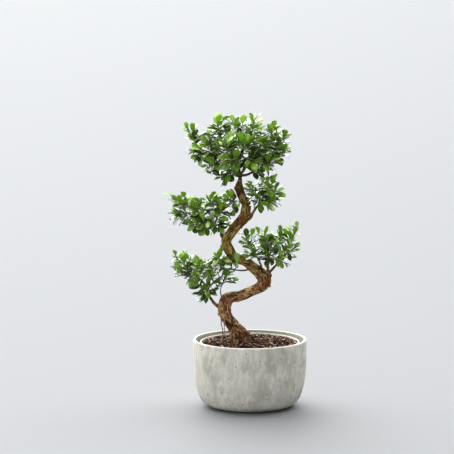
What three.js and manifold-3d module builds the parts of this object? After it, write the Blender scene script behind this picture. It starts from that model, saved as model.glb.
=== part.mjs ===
// A ficus ginseng bonsai: an S-shaped trunk with five leafy pads, standing in
// soil in a round liner pot, which stands in a round pale planter.
// Millimetres, +Z up, +Y away from the viewer. The origin is the middle of the
// planter's flat base.

import * as THREE from 'three';
import { LoftGeometry } from 'three/addons/geometries/LoftGeometry.js';
import { mergeVertices } from 'three/addons/utils/BufferGeometryUtils.js';
import Module from 'manifold-3d';

const wasm = await Module();
wasm.setup();

// Driving dimensions of the pots and the soil

const PLANTER_RADIUS = 159;
const PLANTER_HEIGHT = 190;
const PLANTER_FOOT_RADIUS = 118;
const PLANTER_WALL = 8;
const PLANTER_FLOOR = 12;
const PLANTER_SIDES = 30;

const LINER_RIM_RADIUS = 139.5;
const LINER_RIM_HEIGHT = 12;
const LINER_TOP = 183;
const LINER_WALL = 2;
const LINER_FOOT_RADIUS = 104;
const LINER_SIDES = 24;

const SOIL_TOP = 179;
const SOIL_EDGE_WIDTH = 5;
const SOIL_EDGE_DROP = 6;
const SOIL_MOUND = 3;
const SOIL_LUMP = 1.2;
const SOIL_RING = 80;

// The gap that each piece keeps to the one that it stands in or grows from

const FIT = 0.35;

// Corners round each limb

const TRUNK_SIDES = 9;
const ROOT_SIDES = 4;
const BRANCH_SIDES = 4;
const STEM_SIDES = 4;

// Where shoots grow: along an arm past its bare foot, spaced out, an arm's end first

const BARE_SHARE = 0.35;
const SEAT_STEP = 5;
const SEAT_SPACING = 8;
const SEAT_PULL = 26;
const END_SEAT_BONUS = 12;

// Stems: radius, its taper, and how the curve leaves the arm and reaches the tip

const STEM_RADIUS = 1.8;
const STEM_TAPER = [1.15, 0.85];
const STEM_STEP = 18;
const STEM_START_PULL = 0.25;
const STEM_END_PULL = 0.4;
const STEM_SAMPLE_STEP = 12;

// Leaves: sizes in millimetres, angles in radians, the lowest leaf's value before the top one's

const LEAVES_PER_SHOOT = 6;
const YOUNG_LEAVES = 3;
const LEAFY_LENGTH = 36;
const LOWEST_LEAF_SHARE = 0.2;
const LEAF_LENGTH = 40;
const LEAF_WIDTH = 23;
const LEAF_THICKNESS = 1.4;
const LEAF_SINK = 1.1;
const LEAF_SPREAD = [1.35, 0.4];
const LEAF_SIZE = [1, 0.72];
const GOLDEN_ANGLE = 2.39996;
const FULL_TURN = 6.283;

// How far leaves differ: least and most

const SIZE_RANGE = [0.88, 1.12];
const WIDTH_RANGE = [0.92, 1.08];
const SPREAD_RANGE = [-0.15, 0.15];
const ROLL_RANGE = [-0.35, 0.35];
const FOLD_RANGE = [0.2, 0.5];
const DROOP_RANGE = [0.02, 0.22];
const SKYWARD = 0.35;

// A leaf with no room is turned and raised, a little more at each try.
// It keeps these distances from other shoots, its own shoot's leaves, and the wood.

const LEAF_TRIES = 11;
const TRY_TURN = 0.32;
const TRY_RAISE = 0.05;
const LEAF_CLEARANCE = 4;
const NEAR_LEAF_CLEARANCE = 3;
const WOOD_CLEARANCE = 1.5;

// The trunk's middle line from the root ball to the crown: x, y, z and radius

const TRUNK_LINE = [
  [-16, 0, 138, 15],
  [-19, 0, 158, 25],
  [-23, 0, 178, 29],
  [-26, 0, 191, 26.5],
  [-31, -1, 205, 24],
  [-41, -3, 219, 19.5],
  [-54, -6, 237, 16.5],
  [-66, -9, 256, 17],
  [-71, -11, 279, 17.6],
  [-66, -11, 300, 18],
  [-50, -8, 309, 15.3],
  [-30, -2, 312, 14.2],
  [-11, 3, 317, 14.8],
  [7, 8, 325, 13.9],
  [30, 12, 336, 15.9],
  [41, 14, 354, 19.8],
  [30, 14, 373, 17.3],
  [8, 11, 391, 13.9],
  [-12, 7, 407, 12.8],
  [-30, 3, 415, 13],
  [-46, 0, 424, 13.9],
  [-58, -4, 441, 15.1],
  [-66, -7, 463, 13.6],
  [-63, -8, 478, 14.5],
  [-53, -6, 491, 13.4],
  [-42, -3, 505, 14.2],
  [-30, 0, 517, 14.4],
  [-17, 4, 531, 16.5],
  [-12, 6, 549, 13.9],
  [-11, 6, 567, 12.8],
  [-17, 5, 580, 12.3],
  [-23, 3, 594, 12.6],
  [-28, 1, 608, 12.3],
  [-30, 0, 624, 9.8],
  [-28, 0, 638, 6],
  [-28, 0, 652, 4.6],
];

// An old cut, healed over, on the left of the upper trunk: middle and radius

const CUT_KNOB = [-42, -3, 616, 7];

// Roots that leave the flare and run into the soil: points, first and last radius

const ROOTS = [
  { points: [[-8, 2, 201], [6, 5, 189], [24, 2, 182], [42, -4, 172]], radii: [6, 2.4] },
  { points: [[-14, -14, 196], [-8, -32, 185], [4, -52, 180], [12, -68, 171]], radii: [7, 2.2] },
  { points: [[-42, -8, 198], [-56, -16, 185], [-74, -22, 180], [-90, -24, 170]], radii: [6, 2.2] },
  { points: [[-30, 14, 196], [-36, 34, 184], [-44, 52, 180], [-50, 68, 170]], radii: [7, 2.4] },
  { points: [[-4, 14, 194], [8, 28, 184], [24, 40, 180], [38, 48, 171]], radii: [5, 2] },
  { points: [[-74, -20, 268], [-81, -24, 246], [-77, -27, 222], [-75, -29, 205], [-79, -30, 186],
    [-80, -30, 168]], radii: [2, 1.5] },
  { points: [[-68, -22, 262], [-72, -31, 240], [-70, -34, 214], [-64, -37, 192], [-62, -38, 170]],
    radii: [1.8, 1.4] },
];

// The five pads. An arm is a bare branch grown from the trunk or from another arm.
// A tip is the top of one leafy shoot. The shoots lean away from the pad's heart.

const PADS = [
  {
    name: 'crown',
    heart: [-35, 0, 680],
    lift: 0.5,
    arms: [
      { points: [[-28, 0, 646], [-52, -8, 678], [-96, -14, 706], [-140, -14, 726]], radii: [4.6, 2] },
      { points: [[-52, -8, 678], [-62, 30, 700], [-88, 62, 716], [-98, 80, 722]], radii: [3.4, 1.8] },
      { points: [[-28, 0, 650], [-36, -34, 684], [-60, -64, 706], [-80, -78, 716]], radii: [3.8, 1.8] },
      { points: [[-36, -34, 684], [-20, -66, 700], [-2, -84, 712]], radii: [3, 1.8] },
      { points: [[-28, 0, 650], [-4, -2, 654], [28, -6, 672], [58, -8, 694], [82, -6, 718]], radii: [4, 1.8] },
      { points: [[28, -6, 672], [38, -36, 694], [44, -56, 708]], radii: [3, 1.8] },
      { points: [[-28, 0, 648], [-6, 34, 684], [16, 64, 706], [32, 84, 716]], radii: [3.8, 1.8] },
      { points: [[-28, 0, 650], [-32, 2, 690], [-22, 6, 724], [-12, 6, 748]], radii: [4.6, 2] },
      { points: [[-32, 2, 690], [-56, 6, 722], [-76, 8, 744]], radii: [3.2, 1.8] },
      { points: [[-6, 34, 684], [-26, 62, 706], [-34, 84, 718]], radii: [3, 1.8] },
    ],
    tips: [
      [-170, -10, 776], [-90, -6, 792], [-42, -20, 796], [12, 4, 804], [64, -8, 784], [96, 8, 760],
      [90, -14, 718], [60, -40, 698], [26, -36, 672], [-150, -16, 720], [-114, -44, 690], [-72, -38, 650],
      [-122, -68, 738], [-66, -92, 746], [-10, -94, 752], [46, -72, 740], [-44, -108, 706], [6, -92, 704],
      [-112, 70, 752], [-54, 100, 742], [14, 98, 744], [64, 62, 730],
    ],
  },
  {
    name: 'upper_right',
    heart: [20, 0, 580],
    lift: 0.45,
    arms: [
      { points: [[-12, 5, 524], [2, 6, 532], [10, 6, 549], [24, 5, 567], [44, 2, 582], [64, 0, 592]],
        radii: [5, 1.8] },
      { points: [[24, 5, 567], [26, -16, 582], [24, -28, 592]], radii: [2.8, 1.7] },
      { points: [[24, 5, 567], [36, 24, 582], [42, 34, 590]], radii: [2.8, 1.7] },
    ],
    tips: [
      [50, -2, 618], [72, -4, 600], [60, -36, 582], [14, -24, 612], [28, -52, 592], [52, 42, 606],
    ],
  },
  {
    name: 'left_middle',
    heart: [-120, 0, 528],
    lift: 0.5,
    arms: [
      { points: [[-68, -7, 470], [-80, -8, 484], [-81, -8, 498], [-98, -8, 514], [-122, -8, 528],
        [-150, -8, 538], [-178, -8, 548]], radii: [5, 1.9] },
      { points: [[-98, -8, 514], [-100, -28, 524], [-110, -42, 532]], radii: [2.8, 1.7] },
      { points: [[-98, -8, 514], [-104, 16, 528], [-116, 36, 540]], radii: [2.8, 1.7] },
      { points: [[-98, -8, 514], [-90, -10, 536], [-84, -12, 552]], radii: [3, 1.8] },
      { points: [[-16, -2, 574], [-36, -12, 580]], radii: [3, 1.8] },
    ],
    tips: [
      [-196, -8, 578], [-204, -14, 542], [-152, -26, 570], [-112, -12, 578], [-78, -32, 560],
      [-164, -38, 516], [-122, -58, 512], [-88, -40, 514], [-134, 50, 560], [-54, -22, 588],
    ],
  },
  {
    name: 'right_middle',
    heart: [55, 0, 420],
    lift: 0.5,
    arms: [
      { points: [[44, 14, 362], [50, 12, 380], [51, 10, 406], [56, 4, 430], [68, 2, 450]], radii: [5, 1.9] },
      { points: [[46, 14, 366], [60, 13, 382], [76, 10, 400], [96, 6, 422], [110, 2, 446]], radii: [4.4, 1.9] },
      { points: [[34, 12, 376], [30, 6, 400], [18, -4, 424], [4, -10, 438]], radii: [3.6, 1.8] },
      { points: [[51, 10, 406], [50, -14, 422], [56, -28, 432]], radii: [2.8, 1.7] },
      { points: [[51, 10, 406], [44, 28, 424], [42, 42, 436]], radii: [2.8, 1.7] },
    ],
    tips: [
      [122, 0, 484], [122, -14, 446], [90, -42, 418], [82, 14, 472], [40, -4, 486],
      [-6, -10, 464], [4, -38, 434], [48, -50, 442], [52, 52, 462],
    ],
  },
  {
    name: 'lower_left',
    heart: [-120, -10, 350],
    lift: 0.5,
    arms: [
      { points: [[-76, -10, 276], [-96, -12, 289], [-110, -16, 308], [-117, -18, 334], [-136, -18, 358],
        [-162, -14, 380]], radii: [5.4, 2] },
      { points: [[-117, -18, 334], [-104, -32, 352], [-84, -40, 368], [-72, -34, 380]], radii: [3, 1.7] },
      { points: [[-117, -18, 334], [-118, 8, 360], [-106, 26, 376]], radii: [3, 1.7] },
      { points: [[-70, -18, 304], [-80, -24, 316], [-82, -26, 334], [-76, -28, 350]], radii: [2.2, 1.5] },
      { points: [[4, 4, 390], [-18, -4, 384], [-42, -14, 387], [-72, -26, 392]], radii: [3, 1.7] },
    ],
    tips: [
      [-190, -6, 414], [-188, -20, 376], [-150, -28, 404], [-150, -48, 350], [-110, -36, 394],
      [-118, -62, 334], [-78, -28, 412], [-68, -52, 370], [-122, 44, 392],
    ],
  },
];

// A repeatable number from 0 to 1 for each shoot, leaf and use

function draw(shoot, leaf, use) {
  let hash = Math.imul(shoot + 1, 0x9e3779b1);
  hash ^= Math.imul(leaf + 1, 0x85ebca77);
  hash ^= Math.imul(use + 1, 0xc2b2ae3d);
  hash = Math.imul(hash ^ (hash >>> 15), 0x2c1b3c6d);
  hash = Math.imul(hash ^ (hash >>> 12), 0x297a2d39);
  return ((hash ^ (hash >>> 15)) >>> 0) / 4294967296;
}

function vector(point) {
  return new THREE.Vector3(point[0], point[1], point[2]);
}

function between(range, share) {
  return THREE.MathUtils.lerp(range[0], range[1], share);
}

// Solids: a closed geometry becomes a solid, and a joined or cut solid becomes a geometry again

function solidOf(geometry) {
  const bare = new THREE.BufferGeometry();
  bare.setAttribute('position', geometry.attributes.position);
  bare.setIndex(geometry.index);
  const merged = mergeVertices(bare, 1e-3);
  const mesh = new wasm.Mesh({
    numProp: 3,
    vertProperties: new Float32Array(merged.attributes.position.array),
    triVerts: new Uint32Array(merged.index.array),
  });
  return new wasm.Manifold(mesh);
}

function geometryOf(solid) {
  const mesh = solid.getMesh();
  const geometry = new THREE.BufferGeometry();
  geometry.setAttribute('position', new THREE.BufferAttribute(new Float32Array(mesh.vertProperties), 3));
  geometry.setIndex(new THREE.BufferAttribute(new Uint32Array(mesh.triVerts), 1));
  geometry.computeVertexNormals();
  return geometry;
}

function joined(solids) {
  return solids.reduce((whole, solid) => whole.add(solid));
}

// Only the largest body is kept, so a scrap cut loose by a join is dropped

function largestBody(solid) {
  const bodies = solid.decompose();
  bodies.sort((one, other) => other.volume() - one.volume());
  return bodies[0];
}

// A round limb through the given middle points, one ring of corners at each

function limb(points, radii, sides) {
  let side = new THREE.Vector3(0, 1, 0);
  const rings = points.map((point, index) => {
    const before = points[Math.max(index - 1, 0)];
    const after = points[Math.min(index + 1, points.length - 1)];
    const along = after.clone().sub(before).normalize();
    if (Math.abs(side.dot(along)) > 0.95) {
      side = new THREE.Vector3(1, 0, 0);
    }
    side = side.clone().addScaledVector(along, -side.dot(along)).normalize();
    const other = along.clone().cross(side);
    return Array.from({ length: sides }, (unused, corner) => {
      const angle = (corner / sides) * Math.PI * 2;
      return point.clone()
        .addScaledVector(side, radii[index] * Math.cos(angle))
        .addScaledVector(other, radii[index] * Math.sin(angle));
    });
  });
  return solidOf(new LoftGeometry(rings, { capStart: true, capEnd: true }));
}

function taperedLimb(branch, sides, grow = 0) {
  const points = branch.points.map(vector);
  const last = points.length - 1;
  const ending = points[last].clone().sub(points[last - 1]).normalize();
  points[last].addScaledVector(ending, grow);
  const radii = points.map((point, index) => between(branch.radii, index / last) + grow);
  return limb(points, radii, sides);
}

// Trunk, roots and branches, which grew as one piece of wood

function trunkAndRoots(grow = 0) {
  const trunk = limb(TRUNK_LINE.map(vector), TRUNK_LINE.map((row) => row[3] + grow), TRUNK_SIDES);
  const roots = ROOTS.map((root) => taperedLimb(root, ROOT_SIDES, grow));
  return joined([trunk, ...roots]);
}

function wholeTrunk(grow = 0) {
  const knob = new THREE.IcosahedronGeometry(CUT_KNOB[3] + grow);
  knob.translate(CUT_KNOB[0], CUT_KNOB[1], CUT_KNOB[2]);
  const arms = PADS.flatMap((pad) => pad.arms.map((arm) => taperedLimb(arm, BRANCH_SIDES, grow)));
  return joined([trunkAndRoots(grow), solidOf(knob), ...arms]);
}

// Planter, liner and soil

function turned(profile, sides) {
  const points = profile.map(([radius, height]) => new THREE.Vector2(radius, height));
  const geometry = new THREE.LatheGeometry(points, sides);
  geometry.rotateX(Math.PI / 2);
  return geometry;
}

function planter() {
  const outside = [
    [PLANTER_FOOT_RADIUS, 0],
    [PLANTER_RADIUS - 26, 14],
    [PLANTER_RADIUS - 14, 35],
    [PLANTER_RADIUS - 6, 66],
    [PLANTER_RADIUS - 2, 101],
    [PLANTER_RADIUS, 150],
    [PLANTER_RADIUS - 0.5, PLANTER_HEIGHT - 2],
    [PLANTER_RADIUS - 2.5, PLANTER_HEIGHT],
  ];
  const inside = [
    [PLANTER_RADIUS - PLANTER_WALL + 1, PLANTER_HEIGHT],
    [PLANTER_RADIUS - PLANTER_WALL, 150],
    [PLANTER_RADIUS - PLANTER_WALL - 6, 66],
    [PLANTER_RADIUS - PLANTER_WALL - 15, 35],
    [PLANTER_FOOT_RADIUS, PLANTER_FLOOR],
  ];
  return solidOf(turned([[0, 0], ...outside, ...inside, [0, PLANTER_FLOOR]], PLANTER_SIDES));
}

// The liner's inside, from the middle of its floor to its rim

function linerInside(clear) {
  const floor = PLANTER_FLOOR + FIT + LINER_WALL;
  return [
    [0, floor + clear],
    [LINER_FOOT_RADIUS - LINER_WALL - clear, floor + clear],
    [LINER_RIM_RADIUS - LINER_WALL * 2 - clear, LINER_TOP - LINER_RIM_HEIGHT],
  ];
}

function liner() {
  const foot = PLANTER_FLOOR + FIT;
  const outside = [
    [0, foot],
    [LINER_FOOT_RADIUS, foot],
    [LINER_RIM_RADIUS - LINER_WALL, LINER_TOP - LINER_RIM_HEIGHT - 1],
    [LINER_RIM_RADIUS, LINER_TOP - LINER_RIM_HEIGHT],
    [LINER_RIM_RADIUS, LINER_TOP - 1],
    [LINER_RIM_RADIUS - 1.5, LINER_TOP],
    [LINER_RIM_RADIUS - 4, LINER_TOP - 1],
  ];
  return solidOf(turned([...outside, ...linerInside(0).reverse()], LINER_SIDES));
}

// The soil's unevenness at a place

function soilLump(x, y) {
  return SOIL_LUMP * (Math.sin(x * 0.11 + 1) * Math.cos(y * 0.13) + Math.sin((x - y) * 0.05));
}

function soil() {
  const inside = linerInside(FIT);
  const rim = inside[inside.length - 1];
  const surface = [
    [rim[0], SOIL_TOP - SOIL_EDGE_DROP],
    [rim[0] - SOIL_EDGE_WIDTH, SOIL_TOP - 1],
    [SOIL_RING, SOIL_TOP],
    [0, SOIL_TOP],
  ];
  const geometry = turned([...inside, ...surface], LINER_SIDES);
  const places = geometry.attributes.position;
  for (let index = 0; index < places.count; index += 1) {
    const reach = Math.hypot(places.getX(index), places.getY(index));
    if (places.getZ(index) === SOIL_TOP) {
      const lump = soilLump(places.getX(index), places.getY(index));
      places.setZ(index, SOIL_TOP + lump + SOIL_MOUND * (1 - reach / rim[0]));
    }
  }
  return solidOf(geometry).subtract(trunkAndRoots(FIT));
}

// Leafy shoots: first every stem, then the leaves, each clear of the other shoots

function pointsAlong(arm, step) {
  const corners = arm.points.map(vector);
  const found = [];
  for (let index = 1; index < corners.length; index += 1) {
    const length = corners[index].distanceTo(corners[index - 1]);
    const count = Math.max(Math.round(length / step), 1);
    for (let part = 0; part < count; part += 1) {
      const share = (index - 1 + part / count) / (corners.length - 1);
      found.push({
        place: corners[index - 1].clone().lerp(corners[index], part / count),
        along: corners[index].clone().sub(corners[index - 1]).normalize(),
        radius: between(arm.radii, share),
        share,
      });
    }
  }
  const last = found[found.length - 1];
  found.push({ place: corners[corners.length - 1], along: last.along, radius: arm.radii[1], share: 1 });
  return found;
}

// A shoot grows from the free seat on its pad's arms that is nearest to a point
// below its tip, and an arm's own end is taken before a seat on its side

function seatFor(wish, seats) {
  const cost = (seat) => seat.place.distanceTo(wish) - (seat.share === 1 ? END_SEAT_BONUS : 0);
  const free = seats.filter((seat) => !seat.taken);
  free.sort((one, other) => cost(one) - cost(other));
  for (const near of seats) {
    near.taken = near.taken || near.place.distanceTo(free[0].place) < SEAT_SPACING;
  }
  return free[0];
}

function stemsOf(pad, firstShoot) {
  const heart = vector(pad.heart);
  const seats = pad.arms.flatMap((arm) => pointsAlong(arm, SEAT_STEP))
    .filter((seat) => seat.share > BARE_SHARE);
  return pad.tips.map((place, index) => {
    const tip = vector(place);
    const lean = tip.clone().sub(heart).normalize();
    lean.z += pad.lift;
    lean.normalize();
    const wish = tip.clone().addScaledVector(lean, -SEAT_PULL);
    const seat = seatFor(wish, seats);
    const out = wish.clone().sub(seat.place);
    if (seat.share === 1) {
      out.normalize().add(seat.along);
    } else {
      out.addScaledVector(seat.along, -out.dot(seat.along));
    }
    out.normalize();
    const foot = seat.place.clone().addScaledVector(out, seat.share === 1 ? 0 : seat.radius * 0.7);
    const length = foot.distanceTo(tip);
    const curve = new THREE.CubicBezierCurve3(
      foot,
      foot.clone().addScaledVector(out, length * STEM_START_PULL),
      tip.clone().addScaledVector(lean, -length * STEM_END_PULL),
      tip,
    );
    return { shoot: firstShoot + index, name: `shoot_${pad.name}_${index + 1}`, curve, length, leaves: [] };
  });
}

// A leaf's frame: it leaves the stem at root, runs along out, and faces up

function leafFrame(stem, leaf, attempt) {
  const chance = (use) => draw(stem.shoot, leaf, use);
  const rank = leaf / (LEAVES_PER_SHOOT - 1);
  const share = Math.max(1 - (LEAFY_LENGTH * (1 - rank)) / stem.length, LOWEST_LEAF_SHARE);
  const axis = stem.curve.getTangent(share);
  const side = new THREE.Vector3(0, 1, 0);
  side.addScaledVector(axis, -side.dot(axis)).normalize();
  const other = axis.clone().cross(side);

  const turn = (attempt % 2 === 0 ? 1 : -1) * Math.ceil(attempt / 2) * TRY_TURN;
  const angle = draw(stem.shoot, 0, 0) * FULL_TURN + leaf * GOLDEN_ANGLE + turn;
  const spread = between(LEAF_SPREAD, rank) + between(SPREAD_RANGE, chance(1)) - attempt * TRY_RAISE;
  const out = axis.clone().multiplyScalar(Math.cos(spread))
    .addScaledVector(side, Math.cos(angle) * Math.sin(spread))
    .addScaledVector(other, Math.sin(angle) * Math.sin(spread));

  const face = axis.clone();
  face.z += SKYWARD;
  face.addScaledVector(out, -face.dot(out)).normalize();
  const roll = between(ROLL_RANGE, chance(2));
  const sideways = face.clone().cross(out);
  face.multiplyScalar(Math.cos(roll)).addScaledVector(sideways, Math.sin(roll));

  const size = between(LEAF_SIZE, rank * rank) * between(SIZE_RANGE, chance(3));
  return {
    young: leaf >= LEAVES_PER_SHOOT - YOUNG_LEAVES,
    root: stem.curve.getPoint(share),
    out,
    face,
    across: face.clone().cross(out),
    length: LEAF_LENGTH * size,
    width: LEAF_WIDTH * size * between(WIDTH_RANGE, chance(4)),
    fold: between(FOLD_RANGE, chance(5)),
    droop: between(DROOP_RANGE, chance(6)),
  };
}

// A point of the leaf at a share of its length and a distance from its middle line.
// The two halves fold up from the middle line, and the tip droops.

function leafPoint(frame, share, sideways) {
  const rise = Math.abs(sideways) * frame.fold - frame.length * frame.droop * share * share;
  return frame.root.clone()
    .addScaledVector(frame.out, frame.length * share)
    .addScaledVector(frame.face, rise)
    .addScaledVector(frame.across, sideways);
}

// The outline of a leaf: wedge at the foot, widest past the middle, blunt at the tip

const GROWN_LEAF = [
  { share: 0.2, half: 0.17, thick: LEAF_THICKNESS },
  { share: 0.55, half: 1, thick: LEAF_THICKNESS },
  { share: 0.85, half: 0.78, thick: LEAF_THICKNESS * 0.8 },
];

// The youngest leaves at a shoot's top are narrow at the foot and widest near the tip

const YOUNG_LEAF = [
  { share: 0.26, half: 0.24, thick: LEAF_THICKNESS },
  { share: 0.7, half: 1, thick: LEAF_THICKNESS },
];

function leafSolid(frame) {
  const stations = frame.young ? YOUNG_LEAF : GROWN_LEAF;
  const places = [];
  for (const station of stations) {
    const half = (station.half * frame.width) / 2;
    const middle = leafPoint(frame, station.share, 0);
    places.push(
      leafPoint(frame, station.share, half),
      middle.clone().addScaledVector(frame.face, station.thick / 2),
      leafPoint(frame, station.share, -half),
      middle.clone().addScaledVector(frame.face, -station.thick / 2),
    );
  }

  // Each four-sided patch is cut from its edge corner to the next middle corner, alike on both faces
  const faces = [];
  for (let ring = 0; ring < stations.length - 1; ring += 1) {
    for (let corner = 0; corner < 4; corner += 1) {
      const a = ring * 4 + corner;
      const b = ring * 4 + ((corner + 1) % 4);
      const c = b + 4;
      const d = a + 4;
      faces.push(...(corner % 2 === 0 ? [a, b, c, a, c, d] : [a, b, d, b, c, d]));
    }
  }
  const foot = places.length;
  places.push(frame.root.clone().addScaledVector(frame.out, -LEAF_SINK), leafPoint(frame, 1, 0));
  const last = foot - 4;
  for (let corner = 0; corner < 4; corner += 1) {
    const next = (corner + 1) % 4;
    faces.push(next, corner, foot);
    faces.push(last + corner, last + next, foot + 1);
  }
  const geometry = new THREE.BufferGeometry().setFromPoints(places);
  geometry.setIndex(faces);
  return solidOf(geometry);
}

// Points spread over a leaf's blade, to keep the leaves of different shoots apart

const SAMPLE_SHARES = [0.25, 0.4, 0.55, 0.7, 0.85, 0.98];
const SAMPLE_REACHES = [-0.95, -0.5, 0, 0.5, 0.95];
const MIDDLE_SAMPLE = 12;

function bladeHalfWidth(frame, share) {
  return (frame.width / 2) * Math.sin(Math.PI * Math.min(share, 0.96) ** 1.25);
}

function leafSamples(frame) {
  return SAMPLE_SHARES.flatMap((share) => {
    const half = bladeHalfWidth(frame, share);
    return SAMPLE_REACHES.map((reach) => leafPoint(frame, share, half * reach));
  });
}

function distanceToSegment(point, start, end) {
  const along = end.clone().sub(start);
  const share = THREE.MathUtils.clamp(point.clone().sub(start).dot(along) / along.lengthSq(), 0, 1);
  return point.distanceTo(start.clone().addScaledVector(along, share));
}

function woodSegments() {
  const arms = PADS.flatMap((pad) => pad.arms).map((arm) => ({
    points: arm.points.map(vector),
    radii: arm.points.map((point, index) => between(arm.radii, index / (arm.points.length - 1))),
  }));
  const trunk = { points: TRUNK_LINE.map(vector), radii: TRUNK_LINE.map((row) => row[3]) };
  return [trunk, ...arms].flatMap(({ points, radii }) => points.slice(1).map((end, index) => ({
    start: points[index],
    end,
    radius: Math.max(radii[index], radii[index + 1]),
  })));
}

function clearOfWood(samples, wood) {
  return wood.every((segment) => samples.every((sample) => {
    return distanceToSegment(sample, segment.start, segment.end) > segment.radius + WOOD_CLEARANCE;
  }));
}

function clearOfOthers(samples, shoot, placed) {
  const middle = samples[MIDDLE_SAMPLE];
  return placed.every((other) => {
    const ownStem = other.isStem && other.shoot === shoot;
    if (ownStem || other.middle.distanceTo(middle) > LEAF_LENGTH * 1.5) {
      return true;
    }
    const clearance = other.shoot === shoot ? NEAR_LEAF_CLEARANCE : LEAF_CLEARANCE;
    return samples.every((sample) => other.samples.every((near) => near.distanceTo(sample) > clearance));
  });
}

function stemSamples(stem) {
  const parts = Math.max(Math.round(stem.length / STEM_SAMPLE_STEP), 2);
  return Array.from({ length: parts }, (unused, part) => {
    const samples = [0.15, 0.4, 0.65, 0.9].map((share) => stem.curve.getPoint((part + share) / parts));
    return { shoot: stem.shoot, isStem: true, middle: samples[1], samples };
  });
}

// The top leaf of every shoot finds its place first, then the next one down

function allShoots() {
  const stems = [];
  for (const pad of PADS) {
    stems.push(...stemsOf(pad, stems.length));
  }
  const wood = woodSegments();
  const placed = stems.flatMap(stemSamples);
  for (let leaf = LEAVES_PER_SHOOT - 1; leaf >= 0; leaf -= 1) {
    for (const stem of stems) {
      for (let attempt = 0; attempt < LEAF_TRIES; attempt += 1) {
        const frame = leafFrame(stem, leaf, attempt);
        const samples = leafSamples(frame);
        if (clearOfWood(samples, wood) && clearOfOthers(samples, stem.shoot, placed)) {
          stem.leaves.push(frame);
          placed.push({ shoot: stem.shoot, middle: samples[MIDDLE_SAMPLE], samples });
          break;
        }
      }
    }
  }
  return stems;
}

function boxesMeet(one, other) {
  const a = one.boundingBox();
  const b = other.boundingBox();
  return [0, 1, 2].every((axis) => a.min[axis] < b.max[axis] && b.min[axis] < a.max[axis]);
}

// A stem starts on its arm's bark and is trimmed there to the arm's shape

function stemSolid(stem, woodWithRoom) {
  const steps = Math.max(Math.round(stem.length / STEM_STEP), 2);
  const points = stem.curve.getPoints(steps);
  const radii = points.map((point, step) => STEM_RADIUS * between(STEM_TAPER, step / steps));
  return largestBody(limb(points, radii, STEM_SIDES).subtract(woodWithRoom));
}

// A leaf that would still cut another shoot or the wood is left off

function addLeaves(shoots, woodWithRoom) {
  for (const shoot of shoots) {
    const neighbours = [woodWithRoom, ...shoots.filter((other) => other !== shoot).map((other) => other.solid)];
    for (const frame of shoot.stem.leaves) {
      const leaf = leafSolid(frame);
      const crosses = neighbours.some((other) => boxesMeet(leaf, other) && !leaf.intersect(other).isEmpty());
      if (!crosses) {
        shoot.solid = shoot.solid.add(leaf);
      }
    }
    shoot.solid = largestBody(shoot.solid);
  }
}

// The named pieces

const STONE = { color: 0xc3c5be, roughness: 0.85, metalness: 0 };
const PALE_PLASTIC = { color: 0xd6d5cc, roughness: 0.6, metalness: 0 };
const EARTH = { color: 0x4a3428, roughness: 1, metalness: 0 };
const BARK = { color: 0x8a6440, roughness: 0.9, metalness: 0 };
const LEAF = { color: 0x3f7a25, roughness: 0.4, metalness: 0 };

const object = new THREE.Group();

function addPiece(name, solid, finish) {
  const mesh = new THREE.Mesh(geometryOf(solid), new THREE.MeshStandardMaterial(finish));
  mesh.name = name;
  object.add(mesh);
}

addPiece('planter', planter(), STONE);
addPiece('liner', liner(), PALE_PLASTIC);
addPiece('soil', soil(), EARTH);

addPiece('trunk', wholeTrunk(), BARK);

const woodWithRoom = wholeTrunk(FIT);
const shoots = allShoots().map((stem) => ({ stem, solid: stemSolid(stem, woodWithRoom) }));
addLeaves(shoots, woodWithRoom);
for (const shoot of shoots) {
  addPiece(shoot.stem.name, shoot.solid, LEAF);
}

export default object;
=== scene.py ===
# %% [markdown]
# # A ficus ginseng bonsai in a pale planter
# The tree is a small indoor fig. Its trunk climbs in an S, and five flat pads of glossy
# leaves stand out from it. It grows in a thin plastic liner, which stands in a planter of
# fibre clay. The imported model is the frame that this scene is built round: it gives the
# size and the place of every piece, and nothing here moves it. We load it first.

# %% Load the frame
import math

import bpy
import numpy as np
from mathutils import Matrix, Vector, noise


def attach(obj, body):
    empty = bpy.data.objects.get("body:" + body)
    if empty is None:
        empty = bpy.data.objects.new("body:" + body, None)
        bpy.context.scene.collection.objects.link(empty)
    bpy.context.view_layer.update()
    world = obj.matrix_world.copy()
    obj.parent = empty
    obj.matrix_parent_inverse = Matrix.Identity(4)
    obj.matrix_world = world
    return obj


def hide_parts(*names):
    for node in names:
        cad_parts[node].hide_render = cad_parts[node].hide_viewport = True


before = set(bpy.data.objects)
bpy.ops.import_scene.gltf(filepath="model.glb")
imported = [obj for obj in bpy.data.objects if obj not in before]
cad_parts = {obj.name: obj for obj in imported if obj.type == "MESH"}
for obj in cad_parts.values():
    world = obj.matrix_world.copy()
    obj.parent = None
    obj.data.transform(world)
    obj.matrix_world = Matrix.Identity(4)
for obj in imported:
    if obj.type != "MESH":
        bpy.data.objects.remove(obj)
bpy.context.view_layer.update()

MM = 0.001
print("nodes in the frame:", len(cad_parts))

# %% [markdown]
# ## Working like a pair of hands
# Blender's operators act on whatever is selected. The frame's nodes are selected when they
# arrive, so a helper first lets go of everything and then picks up only what we name.
# Others apply the modifiers of a piece, put its place into its mesh, so that every finished
# piece has its origin at the origin of the scene, and read or move its points all at once.

# %% Helpers for picking up and finishing a piece
def pick(*things):
    bpy.ops.object.select_all(action="DESELECT")
    for thing in things:
        thing.select_set(True)
    bpy.context.view_layer.objects.active = things[0]


def edit_all():
    bpy.ops.object.mode_set(mode="EDIT")
    bpy.ops.mesh.select_all(action="SELECT")


def add_modifier(thing, kind, **settings):
    modifier = thing.modifiers.new(kind.lower(), kind)
    for setting, value in settings.items():
        setattr(modifier, setting, value)
    pick(thing)
    bpy.ops.object.modifier_apply(modifier=modifier.name)


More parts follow.
